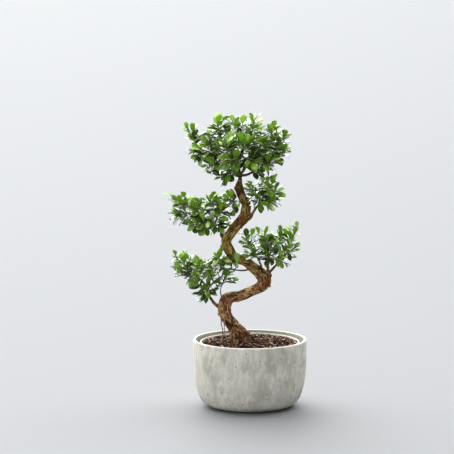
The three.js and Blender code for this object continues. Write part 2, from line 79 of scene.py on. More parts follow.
def join(things, name):
    pick(*things)
    if len(things) > 1:
        bpy.ops.object.join()
    bpy.ops.object.transform_apply(location=True, rotation=True, scale=True)
    whole = bpy.context.object
    whole.name = whole.data.name = name
    return whole


def copy_of(shape):
    copy = shape.copy()
    copy.data = shape.data.copy()
    bpy.context.scene.collection.objects.link(copy)
    return copy


def points_of(thing, field="co"):
    """A row for each point of a mesh: its place, or its normal."""
    flat = np.empty(len(thing.data.vertices) * 3)
    thing.data.vertices.foreach_get(field, flat)
    return flat.reshape(-1, 3)


def set_points(thing, places):
    thing.data.vertices.foreach_set("co", np.float32(places).ravel())
    thing.data.update()


def mark(thing, name, values, kind="FLOAT"):
    """A number or a vector on every point, which the paint can read."""
    if np.isscalar(values):
        values = np.full(len(thing.data.vertices), values)
    attribute = thing.data.attributes.new(name, kind, "POINT")
    field = "vector" if kind == "FLOAT_VECTOR" else "value"
    attribute.data.foreach_set(field, np.float32(values).ravel())


def wear(thing, material):
    thing.data.materials.clear()
    thing.data.materials.append(material)


def faces_in(thing):
    return sum(len(face.vertices) - 2 for face in thing.data.polygons)


def finish_piece(thing, slot, *nodes):
    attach(thing, "root")
    if nodes:
        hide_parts(*nodes)


bpy.ops.object.select_all(action="DESELECT")
print("nothing is selected now:", len(bpy.context.selected_objects), "objects")

# %% [markdown]
# ## Mixing paint with sums
# A finish in Blender is a small network of nodes. Sums on numbers are easier to read as
# sums, so a Flow wraps the output of a node, and adding or multiplying Flows adds the Math
# nodes. A Paint is one material, or the sky. Its add method makes any other node from its
# type, its settings and the values or Flows of its sockets. Colours are given as on a
# screen, from 0 to 255, and turned into the even scale in which light is reckoned.

# %% Flow and Paint
def colour(*channels):
    shades = [channel / 255 for channel in channels]
    return (*[shade / 12.92 if shade <= 0.04045 else ((shade + 0.055) / 1.055) ** 2.4
              for shade in shades], 1.0)


class Flow:
    def __init__(self, paint, node, output=None):
        self.paint, self.node = paint, node
        shown = [socket for socket in node.outputs if socket.enabled]
        self.socket = node.outputs[output] if output else next(iter(shown), None)

    def out(self, output):
        return Flow(self.paint, self.node, output)

    def math(self, operation, *values):
        return self.paint.add("Math", {"operation": operation}, values)

    def __add__(self, other):
        return self.math("ADD", self, other)

    def __mul__(self, other):
        return self.math("MULTIPLY", self, other)

    def __sub__(self, other):
        return self.math("SUBTRACT", self, other)

    def __rsub__(self, other):
        return self.math("SUBTRACT", other, self)

    def __abs__(self):
        return self.math("ABSOLUTE", self)

    __radd__ = __add__
    __rmul__ = __mul__

    def band(self, low, high, start=0.0, end=1.0):
        settings = {"interpolation_type": "SMOOTHSTEP"}
        return self.paint.add("MapRange", settings, [self, low, high, start, end])


class Paint:
    def __init__(self, name, shelf="materials"):
        self.material = getattr(bpy.data, shelf).new(name)
        self.material.use_nodes = True
        self.tree = self.material.node_tree
        self.tree.nodes.clear()

    def connect(self, socket, value):
        if isinstance(value, Flow):
            self.tree.links.new(value.socket, socket)
        else:
            socket.default_value = colour(*value) if socket.type == "RGBA" else value

    def add(self, kind, settings=(), values=()):
        node = self.tree.nodes.new("ShaderNode" + kind)
        settings = dict(settings)
        stops, blending = settings.pop("stops", ()), settings.pop("blending", None)
        for setting, value in settings.items():
            setattr(node, setting, value)
        for number, (place, *shade) in enumerate(stops):
            elements = node.color_ramp.elements
            stop = elements[number] if number < 2 else elements.new(place)
            stop.position, stop.color = place, colour(*shade)
        if blending:
            node.color_ramp.interpolation = blending
        if isinstance(values, dict):
            pairs = [(node.inputs[name], value) for name, value in values.items()]
        else:
            pairs = zip([socket for socket in node.inputs if socket.enabled], values)
        for socket, value in pairs:
            self.connect(socket, value)
        return Flow(self, node)

    def here(self):
        """The place on the piece, in metres."""
        return self.add("TexCoord").out("Object")

    def height(self):
        return self.add("SeparateXYZ", {}, [self.here()]).out("Z")

    def reads(self, name, output="Fac"):
        """What mark() has put on the points of the piece."""
        return self.add("Attribute", {"attribute_name": name}).out(output)

    def stretch(self, place, rise):
        return self.add("VectorMath", {"operation": "MULTIPLY"}, [place, (1, 1, rise)])

    def noise(self, place, scale, detail=2.0, roughness=0.5, rise=None):
        """Noise, drawn out along the limb or upwards where a rise under 1 is given."""
        place = self.stretch(place, rise) if rise else place
        values = {"Vector": place, "Scale": scale, "Detail": detail, "Roughness": roughness}
        return self.add("TexNoise", {}, values)

    def coats(self, base, *coats):
        """Coats of colour over a base, each with how much of it shows."""
        for share, shade in coats:
            base = self.add("Mix", {"data_type": "RGBA"}, [share, base, shade])
        return base

    def surface(self, values, bump, strength, depth):
        settings = {"Strength": strength, "Distance": depth, "Height": bump}
        return self.add("BsdfPrincipled", {}, {**values, "Normal": self.add("Bump", {}, settings)})

    def finish(self, shader, output="OutputMaterial"):
        self.add(output, {}, {"Surface": shader})
        print("mixed", self.material.name, "from", len(self.tree.nodes), "nodes")
        return self.material


print("middle grey on the even scale:", round(colour(128)[0], 3))

# %% [markdown]
# ## The camera, the light and the floor
# The photograph was taken from far away with a long lens, a little above the pot and
# looking slightly down. A long lens keeps the pot's rim a thin ellipse. The light in it
# comes from tall windows behind and to the left, so leaves at the top glow with light that
# shines through them, and a pale room fills in the front. Three very wide suns and a sky
# that is brighter behind do the same here, and they light the floor evenly all over.

# %% Camera at the photograph's angle
EYE = np.array((-64, -6742, 1381.5))
LOOKS_DOWN = math.radians(7.4)
bpy.ops.object.camera_add(location=EYE * MM, rotation=(math.radians(90) - LOOKS_DOWN, 0, 0))
camera = bpy.context.object
camera.data.lens = 193.4
camera.data.sensor_width = 36
bpy.context.scene.camera = camera
print("lens", camera.data.lens, "mm")

# %% Floor and light
bpy.ops.mesh.primitive_plane_add(size=90, location=(0, 0, 0))
floor = bpy.context.object
floor.name = "studio_floor"
paint = Paint("pale_floor")
pale = {"Base Color": (118, 119, 120), "Roughness": 0.8}
wear(floor, paint.finish(paint.add("BsdfPrincipled", {}, pale)))


def soft_sun(name, toward, spread, strength):
    """A sun as wide as a window: light from one side with soft shadows, the same everywhere."""
    bpy.ops.object.light_add(type="SUN", location=(0, 0, 2))
    lamp = bpy.context.object
    lamp.name = name
    lamp.data.angle = math.radians(spread)
    lamp.data.energy = strength
    lamp.rotation_euler = (-Vector(toward)).to_track_quat("-Z", "Y").to_euler()


def bright_behind(front, behind):
    """A pale sky that is brighter towards the back, as a room with its windows behind the plant."""
    sky = Paint("pale_room", "worlds")
    window = Vector((-0.25, 0.92, 0.3)).normalized()
    toward = sky.add("VectorMath", {"operation": "DOT_PRODUCT"},
                     [sky.add("TexCoord").out("Generated"), window]).out("Value")
    light = {"Color": (248.15, 251.04, 255), "Strength": toward.band(0.82, 0.98, front, behind)}
    bpy.context.scene.world = sky.finish(sky.add("Background", {}, light), "OutputWorld")


soft_sun("window_behind_left", (-0.5, 0.46, 0.95), 52, 3.6)
soft_sun("window_behind_right", (0.45, 0.46, 1.05), 52, 2.8)
soft_sun("room_in_front", (-0.6, -0.7, 0.45), 90, 1.42)
bright_behind(0.5, 7.2)
bpy.context.scene.view_settings.view_transform = "Standard"

# %% [markdown]
# ## Where the tree grows
# The tree is described by its middle lines, in millimetres: the trunk with its radius at
# each point, the roots, and for each of the five pads its arms and the tips of its shoots.
# An arm or root has a radius at its start and at its end. Each pad also says how large and
# broad its leaves are, and what grows on each shoot: side twigs, leaves on such a twig, and
# further leaves on the shoot. These are the same lines as in the frame, so every finer
# piece lands where its solid is.

# %% The trunk, the roots and the pads
TRUNK_LINE = [
    (-16, 0, 138, 15), (-19, 0, 158, 25), (-23, 0, 178, 29), (-26, 0, 191, 26.5), (-31, -1, 205, 24),
    (-41, -3, 219, 19.5), (-54, -6, 237, 16.5), (-66, -9, 256, 17), (-71, -11, 279, 17.6),
    (-66, -11, 300, 18), (-50, -8, 309, 15.3), (-30, -2, 312, 14.2), (-11, 3, 317, 14.8),
    (7, 8, 325, 13.9), (30, 12, 336, 15.9), (41, 14, 354, 19.8), (30, 14, 373, 17.3),
    (8, 11, 391, 13.9), (-12, 7, 407, 12.8), (-30, 3, 415, 13), (-46, 0, 424, 13.9),
    (-58, -4, 441, 15.1), (-66, -7, 463, 13.6), (-63, -8, 478, 14.5), (-53, -6, 491, 13.4),
    (-42, -3, 505, 14.2), (-30, 0, 517, 14.4), (-17, 4, 531, 16.5), (-12, 6, 549, 13.9),
    (-11, 6, 567, 12.8), (-17, 5, 580, 12.3), (-23, 3, 594, 12.6), (-28, 1, 608, 12.3),
    (-30, 0, 624, 9.8), (-28, 0, 638, 6), (-28, 0, 652, 4.6),
]
CUT_KNOB = (-36, -6, 615, 8.5)
KNOTS = [(-83, -12, 263, 5.5), (-77, -16, 246, 4.5), (-60, -24, 284, 5), (57, 8, 368, 5.5), (54, 6, 339, 5),
         (34, -1, 330, 4.5), (-78, -9, 452, 5), (-50, -14, 425, 4.5), (-6, -6, 538, 5), (-24, -7, 506, 4.5),
         (-18, -9, 572, 4), (-4, -24, 210, 5), (-30, -26, 190, 6), (8, -10, 196, 5)]
ROOTS = [
    ([(-8, 2, 201), (6, 5, 189), (24, 2, 182), (42, -4, 172)], (6, 2.4)),
    ([(-14, -14, 196), (-8, -32, 185), (4, -52, 180), (12, -68, 171)], (7, 2.2)),
    ([(-42, -8, 198), (-56, -16, 185), (-74, -22, 180), (-90, -24, 170)], (6, 2.2)),
    ([(-30, 14, 196), (-36, 34, 184), (-44, 52, 180), (-50, 68, 170)], (7, 2.4)),
    ([(-4, 14, 194), (8, 28, 184), (24, 40, 180), (38, 48, 171)], (5, 2)),
    ([(-74, -20, 268), (-81, -24, 246), (-77, -27, 222), (-75, -29, 205), (-79, -30, 186),
      (-80, -30, 168)], (2, 1.5)),
    ([(-68, -22, 262), (-72, -31, 240), (-70, -34, 214), (-64, -37, 192), (-62, -38, 170)], (1.8, 1.4)),
]
PADS = {}
PADS["crown"] = dict(
    heart=(-35, 0, 680), lift=0.5, leaf_size=1.0, breadth=1.0, twigs=4, twig_leaves=5, more_leaves=11,
    arms=[
        ([(-28, 0, 646), (-52, -8, 678), (-96, -14, 706), (-140, -14, 726)], (4.6, 2)),
        ([(-52, -8, 678), (-62, 30, 700), (-88, 62, 716), (-98, 80, 722)], (3.4, 1.8)),
        ([(-28, 0, 650), (-36, -34, 684), (-60, -64, 706), (-80, -78, 716)], (3.8, 1.8)),
        ([(-36, -34, 684), (-20, -66, 700), (-2, -84, 712)], (3, 1.8)),
        ([(-28, 0, 650), (-4, -2, 654), (28, -6, 672), (58, -8, 694), (82, -6, 718)], (4, 1.8)),
        ([(28, -6, 672), (38, -36, 694), (44, -56, 708)], (3, 1.8)),
        ([(-28, 0, 648), (-6, 34, 684), (16, 64, 706), (32, 84, 716)], (3.8, 1.8)),
        ([(-28, 0, 650), (-32, 2, 690), (-22, 6, 724), (-12, 6, 748)], (4.6, 2)),
        ([(-32, 2, 690), (-56, 6, 722), (-76, 8, 744)], (3.2, 1.8)),
        ([(-6, 34, 684), (-26, 62, 706), (-34, 84, 718)], (3, 1.8)),
    ],
    tips=[
        (-170, -10, 776), (-90, -6, 792), (-42, -20, 796), (12, 4, 804), (64, -8, 784), (96, 8, 760),
        (90, -14, 718), (60, -40, 698), (26, -36, 672), (-150, -16, 720), (-114, -44, 690),
        (-72, -38, 650), (-122, -68, 738), (-66, -92, 746), (-10, -94, 752), (46, -72, 740),
        (-44, -108, 706), (6, -92, 704), (-112, 70, 752), (-54, 100, 742), (14, 98, 744), (64, 62, 730),
    ],
)
PADS["upper_right"] = dict(
    heart=(20, 0, 580), lift=0.45, leaf_size=0.92, breadth=0.92, twigs=3, twig_leaves=5, more_leaves=9,
    arms=[
        ([(-12, 5, 524), (2, 6, 532), (10, 6, 549), (24, 5, 567), (44, 2, 582), (64, 0, 592)], (5, 1.8)),
        ([(24, 5, 567), (26, -16, 582), (24, -28, 592)], (2.8, 1.7)),
        ([(24, 5, 567), (36, 24, 582), (42, 34, 590)], (2.8, 1.7)),
    ],
    tips=[(50, -2, 618), (72, -4, 600), (60, -36, 582), (14, -24, 612), (28, -52, 592), (52, 42, 606)],
)
PADS["left_middle"] = dict(
    heart=(-120, 0, 528), lift=0.5, leaf_size=0.92, breadth=0.9, twigs=4, twig_leaves=5, more_leaves=9,
    arms=[
        ([(-68, -7, 470), (-80, -8, 484), (-81, -8, 498), (-98, -8, 514), (-122, -8, 528),
          (-150, -8, 538), (-178, -8, 548)], (5, 1.9)),
        ([(-98, -8, 514), (-100, -28, 524), (-110, -42, 532)], (2.8, 1.7)),
        ([(-98, -8, 514), (-104, 16, 528), (-116, 36, 540)], (2.8, 1.7)),
        ([(-98, -8, 514), (-90, -10, 536), (-84, -12, 552)], (3, 1.8)),
        ([(-16, -2, 574), (-36, -12, 580)], (3, 1.8)),
    ],
    tips=[
        (-196, -8, 578), (-204, -14, 542), (-152, -26, 570), (-112, -12, 578), (-78, -32, 560),
        (-164, -38, 516), (-122, -58, 512), (-88, -40, 514), (-134, 50, 560), (-54, -22, 588),
    ],
)
PADS["right_middle"] = dict(
    heart=(55, 0, 420), lift=0.5, leaf_size=0.88, breadth=0.84, twigs=3, twig_leaves=4, more_leaves=8,
    arms=[
        ([(44, 14, 362), (50, 12, 380), (51, 10, 406), (56, 4, 430), (68, 2, 450)], (5, 1.9)),
        ([(46, 14, 366), (60, 13, 382), (76, 10, 400), (96, 6, 422), (110, 2, 446)], (4.4, 1.9)),
        ([(34, 12, 376), (30, 6, 400), (18, -4, 424), (4, -10, 438)], (3.6, 1.8)),
        ([(51, 10, 406), (50, -14, 422), (56, -28, 432)], (2.8, 1.7)),
        ([(51, 10, 406), (44, 28, 424), (42, 42, 436)], (2.8, 1.7)),
    ],
    tips=[
        (122, 0, 484), (122, -14, 446), (90, -42, 418), (82, 14, 472), (40, -4, 486),
        (-6, -10, 464), (4, -38, 434), (48, -50, 442), (52, 52, 462),
    ],
)
PADS["lower_left"] = dict(
    heart=(-120, -10, 350), lift=0.5, leaf_size=0.92, breadth=0.9, twigs=3, twig_leaves=5, more_leaves=8,
    arms=[
        ([(-76, -10, 276), (-96, -12, 289), (-110, -16, 308), (-117, -18, 334), (-136, -18, 358),
          (-162, -14, 380)], (5.4, 2)),
        ([(-117, -18, 334), (-104, -32, 352), (-84, -40, 368), (-72, -34, 380)], (3, 1.7)),
        ([(-117, -18, 334), (-118, 8, 360), (-106, 26, 376)], (3, 1.7)),
        ([(-70, -18, 304), (-80, -24, 316), (-82, -26, 334), (-76, -28, 350)], (2.2, 1.5)),
        ([(4, 4, 390), (-18, -4, 384), (-42, -14, 387), (-72, -26, 392)], (3, 1.7)),
    ],
    tips=[
        (-190, -6, 414), (-188, -20, 376), (-150, -28, 404), (-150, -48, 350), (-110, -36, 394),
        (-118, -62, 334), (-78, -28, 412), (-68, -52, 370), (-122, 44, 392),
    ],
)
ARMS = [arm for pad in PADS.values() for arm in pad["arms"]]
print(len(ROOTS), "roots,", len(ARMS), "arms,", sum(len(pad["tips"]) for pad in PADS.values()), "shoots")

# %% [markdown]
# ## The wood
# Trunk, branches and roots grew as one piece, with bark that runs along each limb and
# wrinkles at the bends. One way to make a limb is to extrude a circle ring by ring. A curve
# with a thickness at each point is quicker and never pinches at a bend, so we draw every
# limb as a curve, turn the curves into meshes and join them. A voxel remesh then melts
# them into one skin, so that branches grow out of the trunk with a soft collar.

# %% Smooth middle lines
TRUNK_STEP = 5
SKIN_VOXEL = 1.45


def smooth_line(rows, step):
    """Points every step or so on a smooth line through the rows, radius last."""
    rows = np.array(rows, float)
    padded = np.vstack([2 * rows[0] - rows[1], rows, 2 * rows[-1] - rows[-2]])
    line = []
    for before, start, end, after in zip(padded, padded[1:], padded[2:], padded[3:]):
        parts = max(int(np.linalg.norm(end[:3] - start[:3]) / step + 0.5), 1)
        for part in range(parts):
            t = part / parts
            line.append(0.5 * (2 * start + (end - before) * t
                               + (2 * before - 5 * start + 4 * end - after) * t ** 2
                               + (3 * start - before - 3 * end + after) * t ** 3))
    return np.array([*line, rows[-1]])


def with_radii(points, radii):
    last = len(points) - 1
    return [(*point, radii[0] + (radii[1] - radii[0]) * number / last)
            for number, point in enumerate(points)]


def crooked(line, amount, seed):
    """The line with small bends, none at its two ends."""
    bent = line.copy()
    for number, row in enumerate(line):
        share = number / (len(line) - 1)
        sway = noise.noise_vector(Vector((number * 0.45, seed * 7.3, 0.5)))
        bent[number, :3] += np.array(sway) * amount * math.sin(math.pi * share)
    return bent


trunk_line = smooth_line(TRUNK_LINE, TRUNK_STEP)
root_lines = [crooked(smooth_line(with_radii(*root), 6), 1.5, seed) for seed, root in enumerate(ROOTS)]
arm_lines = [crooked(smooth_line(with_radii(*arm), 6), 1.8, 20 + seed) for seed, arm in enumerate(ARMS)]
LIMBS = [trunk_line, *root_lines, *arm_lines]
print("limbs:", len(LIMBS), "points:", sum(len(line) for line in LIMBS))

# %% Limbs as curves, melted into one skin
def limb(line, roundness=4):
    bpy.ops.curve.primitive_nurbs_path_add()
    data = bpy.context.object.data
    data.splines.clear()
    spline = data.splines.new("POLY")
    spline.points.add(len(line) - 1)
    for point, (x, y, z, radius) in zip(spline.points, line):
        point.co = (x * MM, y * MM, z * MM, 1)
        point.radius = radius
    data.bevel_depth = MM
    data.bevel_resolution = roundness
    data.use_fill_caps = True
    data.twist_mode = "MINIMUM"
    pick(bpy.context.object)
    bpy.ops.object.convert(target="MESH")
    return bpy.context.object


def ball(row, segments=14, rings=9):
    """The dome of the cut, or a knot where a twig was pruned: the skin flows over it."""
    bpy.ops.mesh.primitive_uv_sphere_add(
        segments=segments, ring_count=rings, radius=row[3] * MM, location=Vector(row[:3]) * MM)
    return bpy.context.object


def callus():
    """The rolled edge of the healed cut, on the front of the trunk."""
    facing = Vector((-0.45, -0.87, 0.2))
    bpy.ops.mesh.primitive_torus_add(
        major_radius=4.8 * MM, minor_radius=1.7 * MM, rotation=facing.to_track_quat("Z", "Y").to_euler(),
        location=(Vector(CUT_KNOB[:3]) + facing * 7) * MM)
    return bpy.context.object


wood = join([*map(limb, LIMBS), ball(CUT_KNOB, 20, 12), callus(), *map(ball, KNOTS)], "wood")
add_modifier(wood, "REMESH", mode="VOXEL", voxel_size=SKIN_VOXEL * MM, use_smooth_shade=True)
add_modifier(wood, "SMOOTH", factor=0.5, iterations=3)
print("skin of the wood:", faces_in(wood), "triangles")

# %% [markdown]
# ## Bark that follows the limbs
# Bark has a direction: its ridges run along the limb, wherever the limb turns. A pattern in
# plain space would cut straight through the bends. So for every point of the skin we find
# the nearest limb and note how far along it the point lies and on which side. That gives a
# straightened place, as if the limb had been pulled out into a rod. The relief is worked
# out on the straightened place, and the paint will read the same numbers.

# %% Straightened places
LIMBS_APART = 97


def unit(vector):
    return vector / np.linalg.norm(vector)


def straighten(places):
    """Straightened place, and the limb's radius there, for places in millimetres."""
    best = np.full(len(places), np.inf)
    grain, girth = np.zeros((len(places), 3)), np.zeros(len(places))
    for number, line in enumerate(LIMBS):
        row = np.vstack([line[::2] if len(line) > 6 else line, line[-1:]])
        side, run = np.array((0.0, 1.0, 0.0)), LIMBS_APART * number
        for start, end in zip(row, row[1:]):
            along = end[:3] - start[:3]
            length = np.linalg.norm(along)
            if length < 1e-6:
                continue
            along = along / length
            side = unit(side - along * side.dot(along))
            other = np.cross(along, side)
            offset = places - start[:3]
            reach = np.clip(offset @ along, 0, length)
            away = offset - np.outer(reach, along)
            radius = start[3] + (end[3] - start[3]) * reach / length
            depth = np.linalg.norm(away, axis=1) - radius
            near = depth < best
            best[near] = depth[near]
            grain[near] = np.stack([away @ side, away @ other, run + offset @ along], axis=1)[near]
            girth[near] = radius[near]
            run += length
    return grain, girth


skin = points_of(wood) / MM
grain, girth = straighten(skin)
print("girth of the limbs, mm:", round(girth.min(), 1), "to", round(girth.max(), 1))

# %% Raise the bark
def wave(x, y, z):
    return noise.noise(Vector((x, y, z)))


def relief(place, radius):
    """How far the bark stands out, in mm: long ridges, thin cracks, swellings and wrinkles."""
    x, y, z = place
    bend = 4 * wave(x / 15, y / 15, z / 30)
    ridges = 1 - 2 * abs(wave((x + bend) / 6, (y + bend) / 6, z / 32))
    crack = max(1 - abs(wave((x + bend) / 8 + 9, y / 8, z / 30)) / 0.09, 0.0)
    rough = noise.fractal(Vector((x / 3.4 + 31, y / 3.4, z / 6)), 0.9, 2.1, 3)
    swell = wave(x / 18, y / 18 + 9, z / 23)
    fold = 1 - 2 * abs(wave(x / 19 + 5, y / 19, z / 6.5))
    folds = max(wave(x / 40, y / 40 + 3, z / 34) + 0.1, 0.0)
    raised = 0.55 * ridges + 0.6 * rough + 1.9 * swell + 1.6 * fold * folds - 1.3 * crack
    return min(radius / 14, 1.0) * raised


lift = np.array([relief(place, radius) for place, radius in zip(grain, girth)])
lift *= np.interp(skin[:, 2], (180, 300, 420), (1.45, 1.25, 1.0))
set_points(wood, (skin + points_of(wood, "normal") * lift[:, None]) * MM)
SCARS = [((-48, -9, 618), 9), ((-10, -22, 196), 15), ((-62, -22, 300), 12), ((40, -2, 352), 13),
         ((-20, -8, 534), 9), ((-30, -12, 425), 8)]
scar = np.zeros(len(skin))
for place, size in SCARS:
    scar = np.maximum(scar, np.clip(1.6 - np.linalg.norm(skin - np.array(place), axis=1) / size, 0, 1))
mark(wood, "grain", grain * MM, "FLOAT_VECTOR")
for name, values in (("girth", girth), ("relief", lift), ("scar", scar)):
    mark(wood, name, values)
finish_piece(wood, "bark", "trunk")
print("bark relief, mm:", round(lift.min(), 2), "to", round(lift.max(), 2))

# %% [markdown]
# ## The finish of the bark
# Up close the bark is tan on its ridges, dark brown in the furrows, and reddish where a
# flake has come off or a cut has healed. Young twigs are smoother and greyer. The relief
# that we raised tells the paint where the ridges are, and finer noise adds the grain that
# is too small for the mesh, as colour and as bump.

# %% Bark paint
def bark_paint():
    paint = Paint("fig_bark")
    grain, tall, width = paint.reads("grain", "Vector"), paint.height(), paint.reads("girth")
    age = tall.band(0.44, 0.27)
    fine = paint.noise(grain, 640, 4, 0.7, 0.3).band(0.32, 0.7)
    flakes = paint.noise(grain, 230, 4, 0.65, 0.32).band(0.34, 0.66)
    blaze = paint.noise(grain, 58, 3, 0.6, 0.4).band(0.36, 0.64)
    patches = paint.noise(grain, 26)
    crack = abs(paint.noise(grain, 330, rise=0.1) - 0.5).band(0.035, 0.008)
    ridge = paint.reads("relief").band(-2.4, 2.0) * 0.4 + fine * 0.2 + flakes * 0.44 + blaze * 0.14
    ridge = (ridge - crack * 0.2 - 0.57) * (age * 0.7 + 1.35) + (0.44 - age * 0.055)
    young = paint.add("ValToRGB", {"stops": [
        (0.14, 30, 18, 2), (0.92, 228, 198, 122), (0.32, 76, 52, 12), (0.47, 124, 94, 30),
        (0.66, 174, 138, 58)]}, [ridge])
    old = paint.add("ValToRGB", {"stops": [
        (0.14, 28, 14, 6), (0.92, 216, 170, 116), (0.32, 70, 40, 18), (0.47, 116, 74, 38),
        (0.66, 162, 114, 66)]}, [ridge])
    shade = paint.coats(
        young, (age, old),
        (patches.band(0.52, 0.64) * 0.45, (152, 86, 36)),  # rusty patches
        (patches.band(0.46, 0.34) * (age * -0.3 + 0.45), (136, 118, 40)),  # olive patches
        (paint.reads("scar") * flakes.band(0.2, 0.7) * 0.6, (150, 82, 46)),  # raw wood
        (tall.band(0.57, 0.62) * 0.5, (70, 40, 22)),  # the neck, in the crown's shade
        (tall.band(0.24, 0.184) * blaze.band(0.95, 0.3) * 0.8, (44, 25, 15)),  # darker in patches towards the soil
        (width.band(7.5, 2.2) * 0.65, (86, 64, 38)),  # thin branches: darker bark of their own, partly painted shade
        (width.band(2.6, 1.8) * tall.band(0.31, 0.29), (150, 128, 98)))  # hanging roots
    look = {"Base Color": shade, "Roughness": ridge.band(0.2, 0.8, 0.95, 0.72)}
    return paint.finish(paint.surface(look, fine * 0.4 + flakes - crack * 0.8, 0.6, 0.0018))


wear(wood, bark_paint())

# %% [markdown]
# ## The planter and the liner
# The planter is a round bowl of fibre clay with an 8 mm wall. The liner is a thin plastic
# pot with a turned-over rim, and the soil fills it. A turned shape is a profile spun round
# an axis, and the Spin operator does just that. A profile starts as one vertex, from a
# plane merged at its centre, and is drawn by extruding that vertex from point to point.

# %% Spin a profile
def turned(profile, steps, name):
    bpy.ops.mesh.primitive_plane_add(size=0.01, location=(0, 0, 0))
    edit_all()
    bpy.ops.mesh.merge(type="CENTER")
    bpy.ops.transform.translate(value=(profile[0][0] * MM, 0, profile[0][1] * MM))
    for before, after in zip(profile, profile[1:]):
        step = ((after[0] - before[0]) * MM, 0, (after[1] - before[1]) * MM)
        bpy.ops.mesh.extrude_region_move(TRANSFORM_OT_translate={"value": step})
    bpy.ops.mesh.select_all(action="SELECT")
    bpy.ops.mesh.spin(steps=steps, angle=math.tau, center=(0, 0, 0), axis=(0, 0, 1))
    bpy.ops.mesh.select_all(action="SELECT")
    bpy.ops.mesh.remove_doubles(threshold=1e-5)
    bpy.ops.mesh.normals_make_consistent(inside=False)
    bpy.ops.mesh.faces_shade_smooth()
    bpy.ops.object.mode_set(mode="OBJECT")
    return join([bpy.context.object], name)


def rounded(profile, step):
    return [tuple(row[:2]) for row in smooth_line([(x, z, 0, 0) for x, z in profile], step)]


PLANTER_OUTSIDE = [(119, 5.4), (133, 14.6), (145, 35), (153, 66), (157, 101), (159, 150), (158.6, 186.5)]
PLANTER_RIM = [(158.2, 188.4), (157, 189.6), (155.4, 190), (153.4, 190), (152.2, 189.4), (151.8, 188)]
PLANTER_INSIDE = [(151, 150), (145, 66), (136, 35), (118, 12)]
PLANTER_FOOT = [(0, 0), (60, 0), (96, 0), (97.4, 0.5), (98, 3.2), (99, 4.2), (108, 4.3), (114, 4.4)]
planter_profile = [*PLANTER_FOOT, *rounded(PLANTER_OUTSIDE, 5), *PLANTER_RIM,
                   *rounded(PLANTER_INSIDE, 8), (60, 12), (0, 12)]
planter = turned(planter_profile, 128, "planter_bowl")
print("planter:", faces_in(planter), "triangles")

# %% Make the clay a little uneven
def unevenness(x, y, z):
    return 0.35 * wave(x / 46, y / 46, z / 60) + 0.16 * wave(x / 13, y / 13, z / 22 + 7)


clay = points_of(planter) / MM
reach, tall = np.hypot(clay[:, 0], clay[:, 1]), clay[:, 2]
push = np.array([unevenness(*place) for place in clay]) * (tall > 6) * (reach > 100)
outward = clay * (1, 1, 0) / np.maximum(reach, 1)[:, None]
set_points(planter, (clay + outward * push[:, None]) * MM)
facing_in = (points_of(planter, "normal") * outward).sum(axis=1) < -0.3
# The inside wall is marked so that the clay paint can darken it with painted shade.
mark(planter, "inside_wall_shade", facing_in & (tall > 13) & (tall < 188.5))
finish_piece(planter, "planter_clay", "planter")
print("uneven by", round(push.min(), 2), "to", round(push.max(), 2), "mm")

# %% Liner
LINER_PROFILE = [
    (0, 12.35), (60, 12.35), (101, 12.35), (103.4, 13), (104.4, 14.6), (137.3, 169.6), (138, 170.2),
    (139.1, 170.6), (139.5, 171.4), (139.5, 180.6), (139.1, 182), (138, 182.8), (136.8, 183), (135.9, 182.4),
    (135.5, 181), (135.5, 171), (102.2, 15.4), (101, 14.35), (60, 14.35), (0, 14.35)]
liner = turned(LINER_PROFILE, 112, "grow_pot_liner")
finish_piece(liner, "liner_plastic", "liner")
print("liner:", faces_in(liner), "triangles")

# %% [markdown]
# ## The soil
# The tree stands in a loose mix of peat, bark chips and grit. From a step away it is a dark
# brown ground with tan, reddish and pale pieces on it. The ground is spun from a profile
# and made lumpy. Four chips are modelled once, each a cut and squashed block: a long chip,
# a broad one, a crumb and a fibre. They are copied all over the ground, each copy turned
# its own way and sunk in. Most fibres lie round the trunk.

# %% Repeatable draws
def draw(shoot, leaf, use):
    """A repeatable number from 0 to 1 for each shoot, leaf and use."""
    mask = 0xFFFFFFFF
    mixed = ((shoot + 1) * 0x9E3779B1) & mask
    mixed ^= ((leaf + 1) * 0x85EBCA77) & mask
    mixed ^= ((use + 1) * 0xC2B2AE3D) & mask
    mixed = ((mixed ^ (mixed >> 15)) * 0x2C1B3C6D) & mask
    mixed = ((mixed ^ (mixed >> 12)) * 0x297A2D39) & mask
    return (mixed ^ (mixed >> 15)) / 4294967296


def between(ends, share):
    return ends[0] + (ends[1] - ends[0]) * share


print("three draws:", [round(draw(0, 0, use), 3) for use in range(3)])

# %% Ground
SOIL_TOP = 179
SOIL_RADIUS = 135


def ground_height(x, y):
    lump = 1.2 * (math.sin(x * 0.11 + 1) * math.cos(y * 0.13) + math.sin((x - y) * 0.05))
    inner = min(max((128 - math.hypot(x, y)) / 30, 0), 1)
    coarse = wave(x / 9, y / 9, 0.3) * 1.3
    fine = noise.fractal(Vector((x / 3.2, y / 3.2, 4)), 0.8, 2.2, 3) * 0.9
    mound = 3 * (1 - math.hypot(x, y) / SOIL_RADIUS)
    edge = -6 * (1 - min(max((135.2 - math.hypot(x, y)) / 5, 0), 1))
    return SOIL_TOP + edge + mound + lump * inner + (coarse + fine) * 0.8


rings = [(radius, SOIL_TOP) for radius in np.linspace(133, 3, 46)]
ground = turned([(0, 15), (101.6, 15), (135.1, 171), (135.1, 173), *rings, (0, SOIL_TOP)], 150, "ground")
earth = points_of(ground) / MM
top = earth[:, 2] > 172
earth[top, 2] = [ground_height(x, y) for x, y in earth[top, :2]]
set_points(ground, earth * MM)
print("ground:", faces_in(ground), "triangles")

# %% Chips of bark and grit
CHIPS, CHIP_DRAWS, CHIP_REACH = 1150, 900, 131
FIBRE, FIBRE_RING = 3, 62


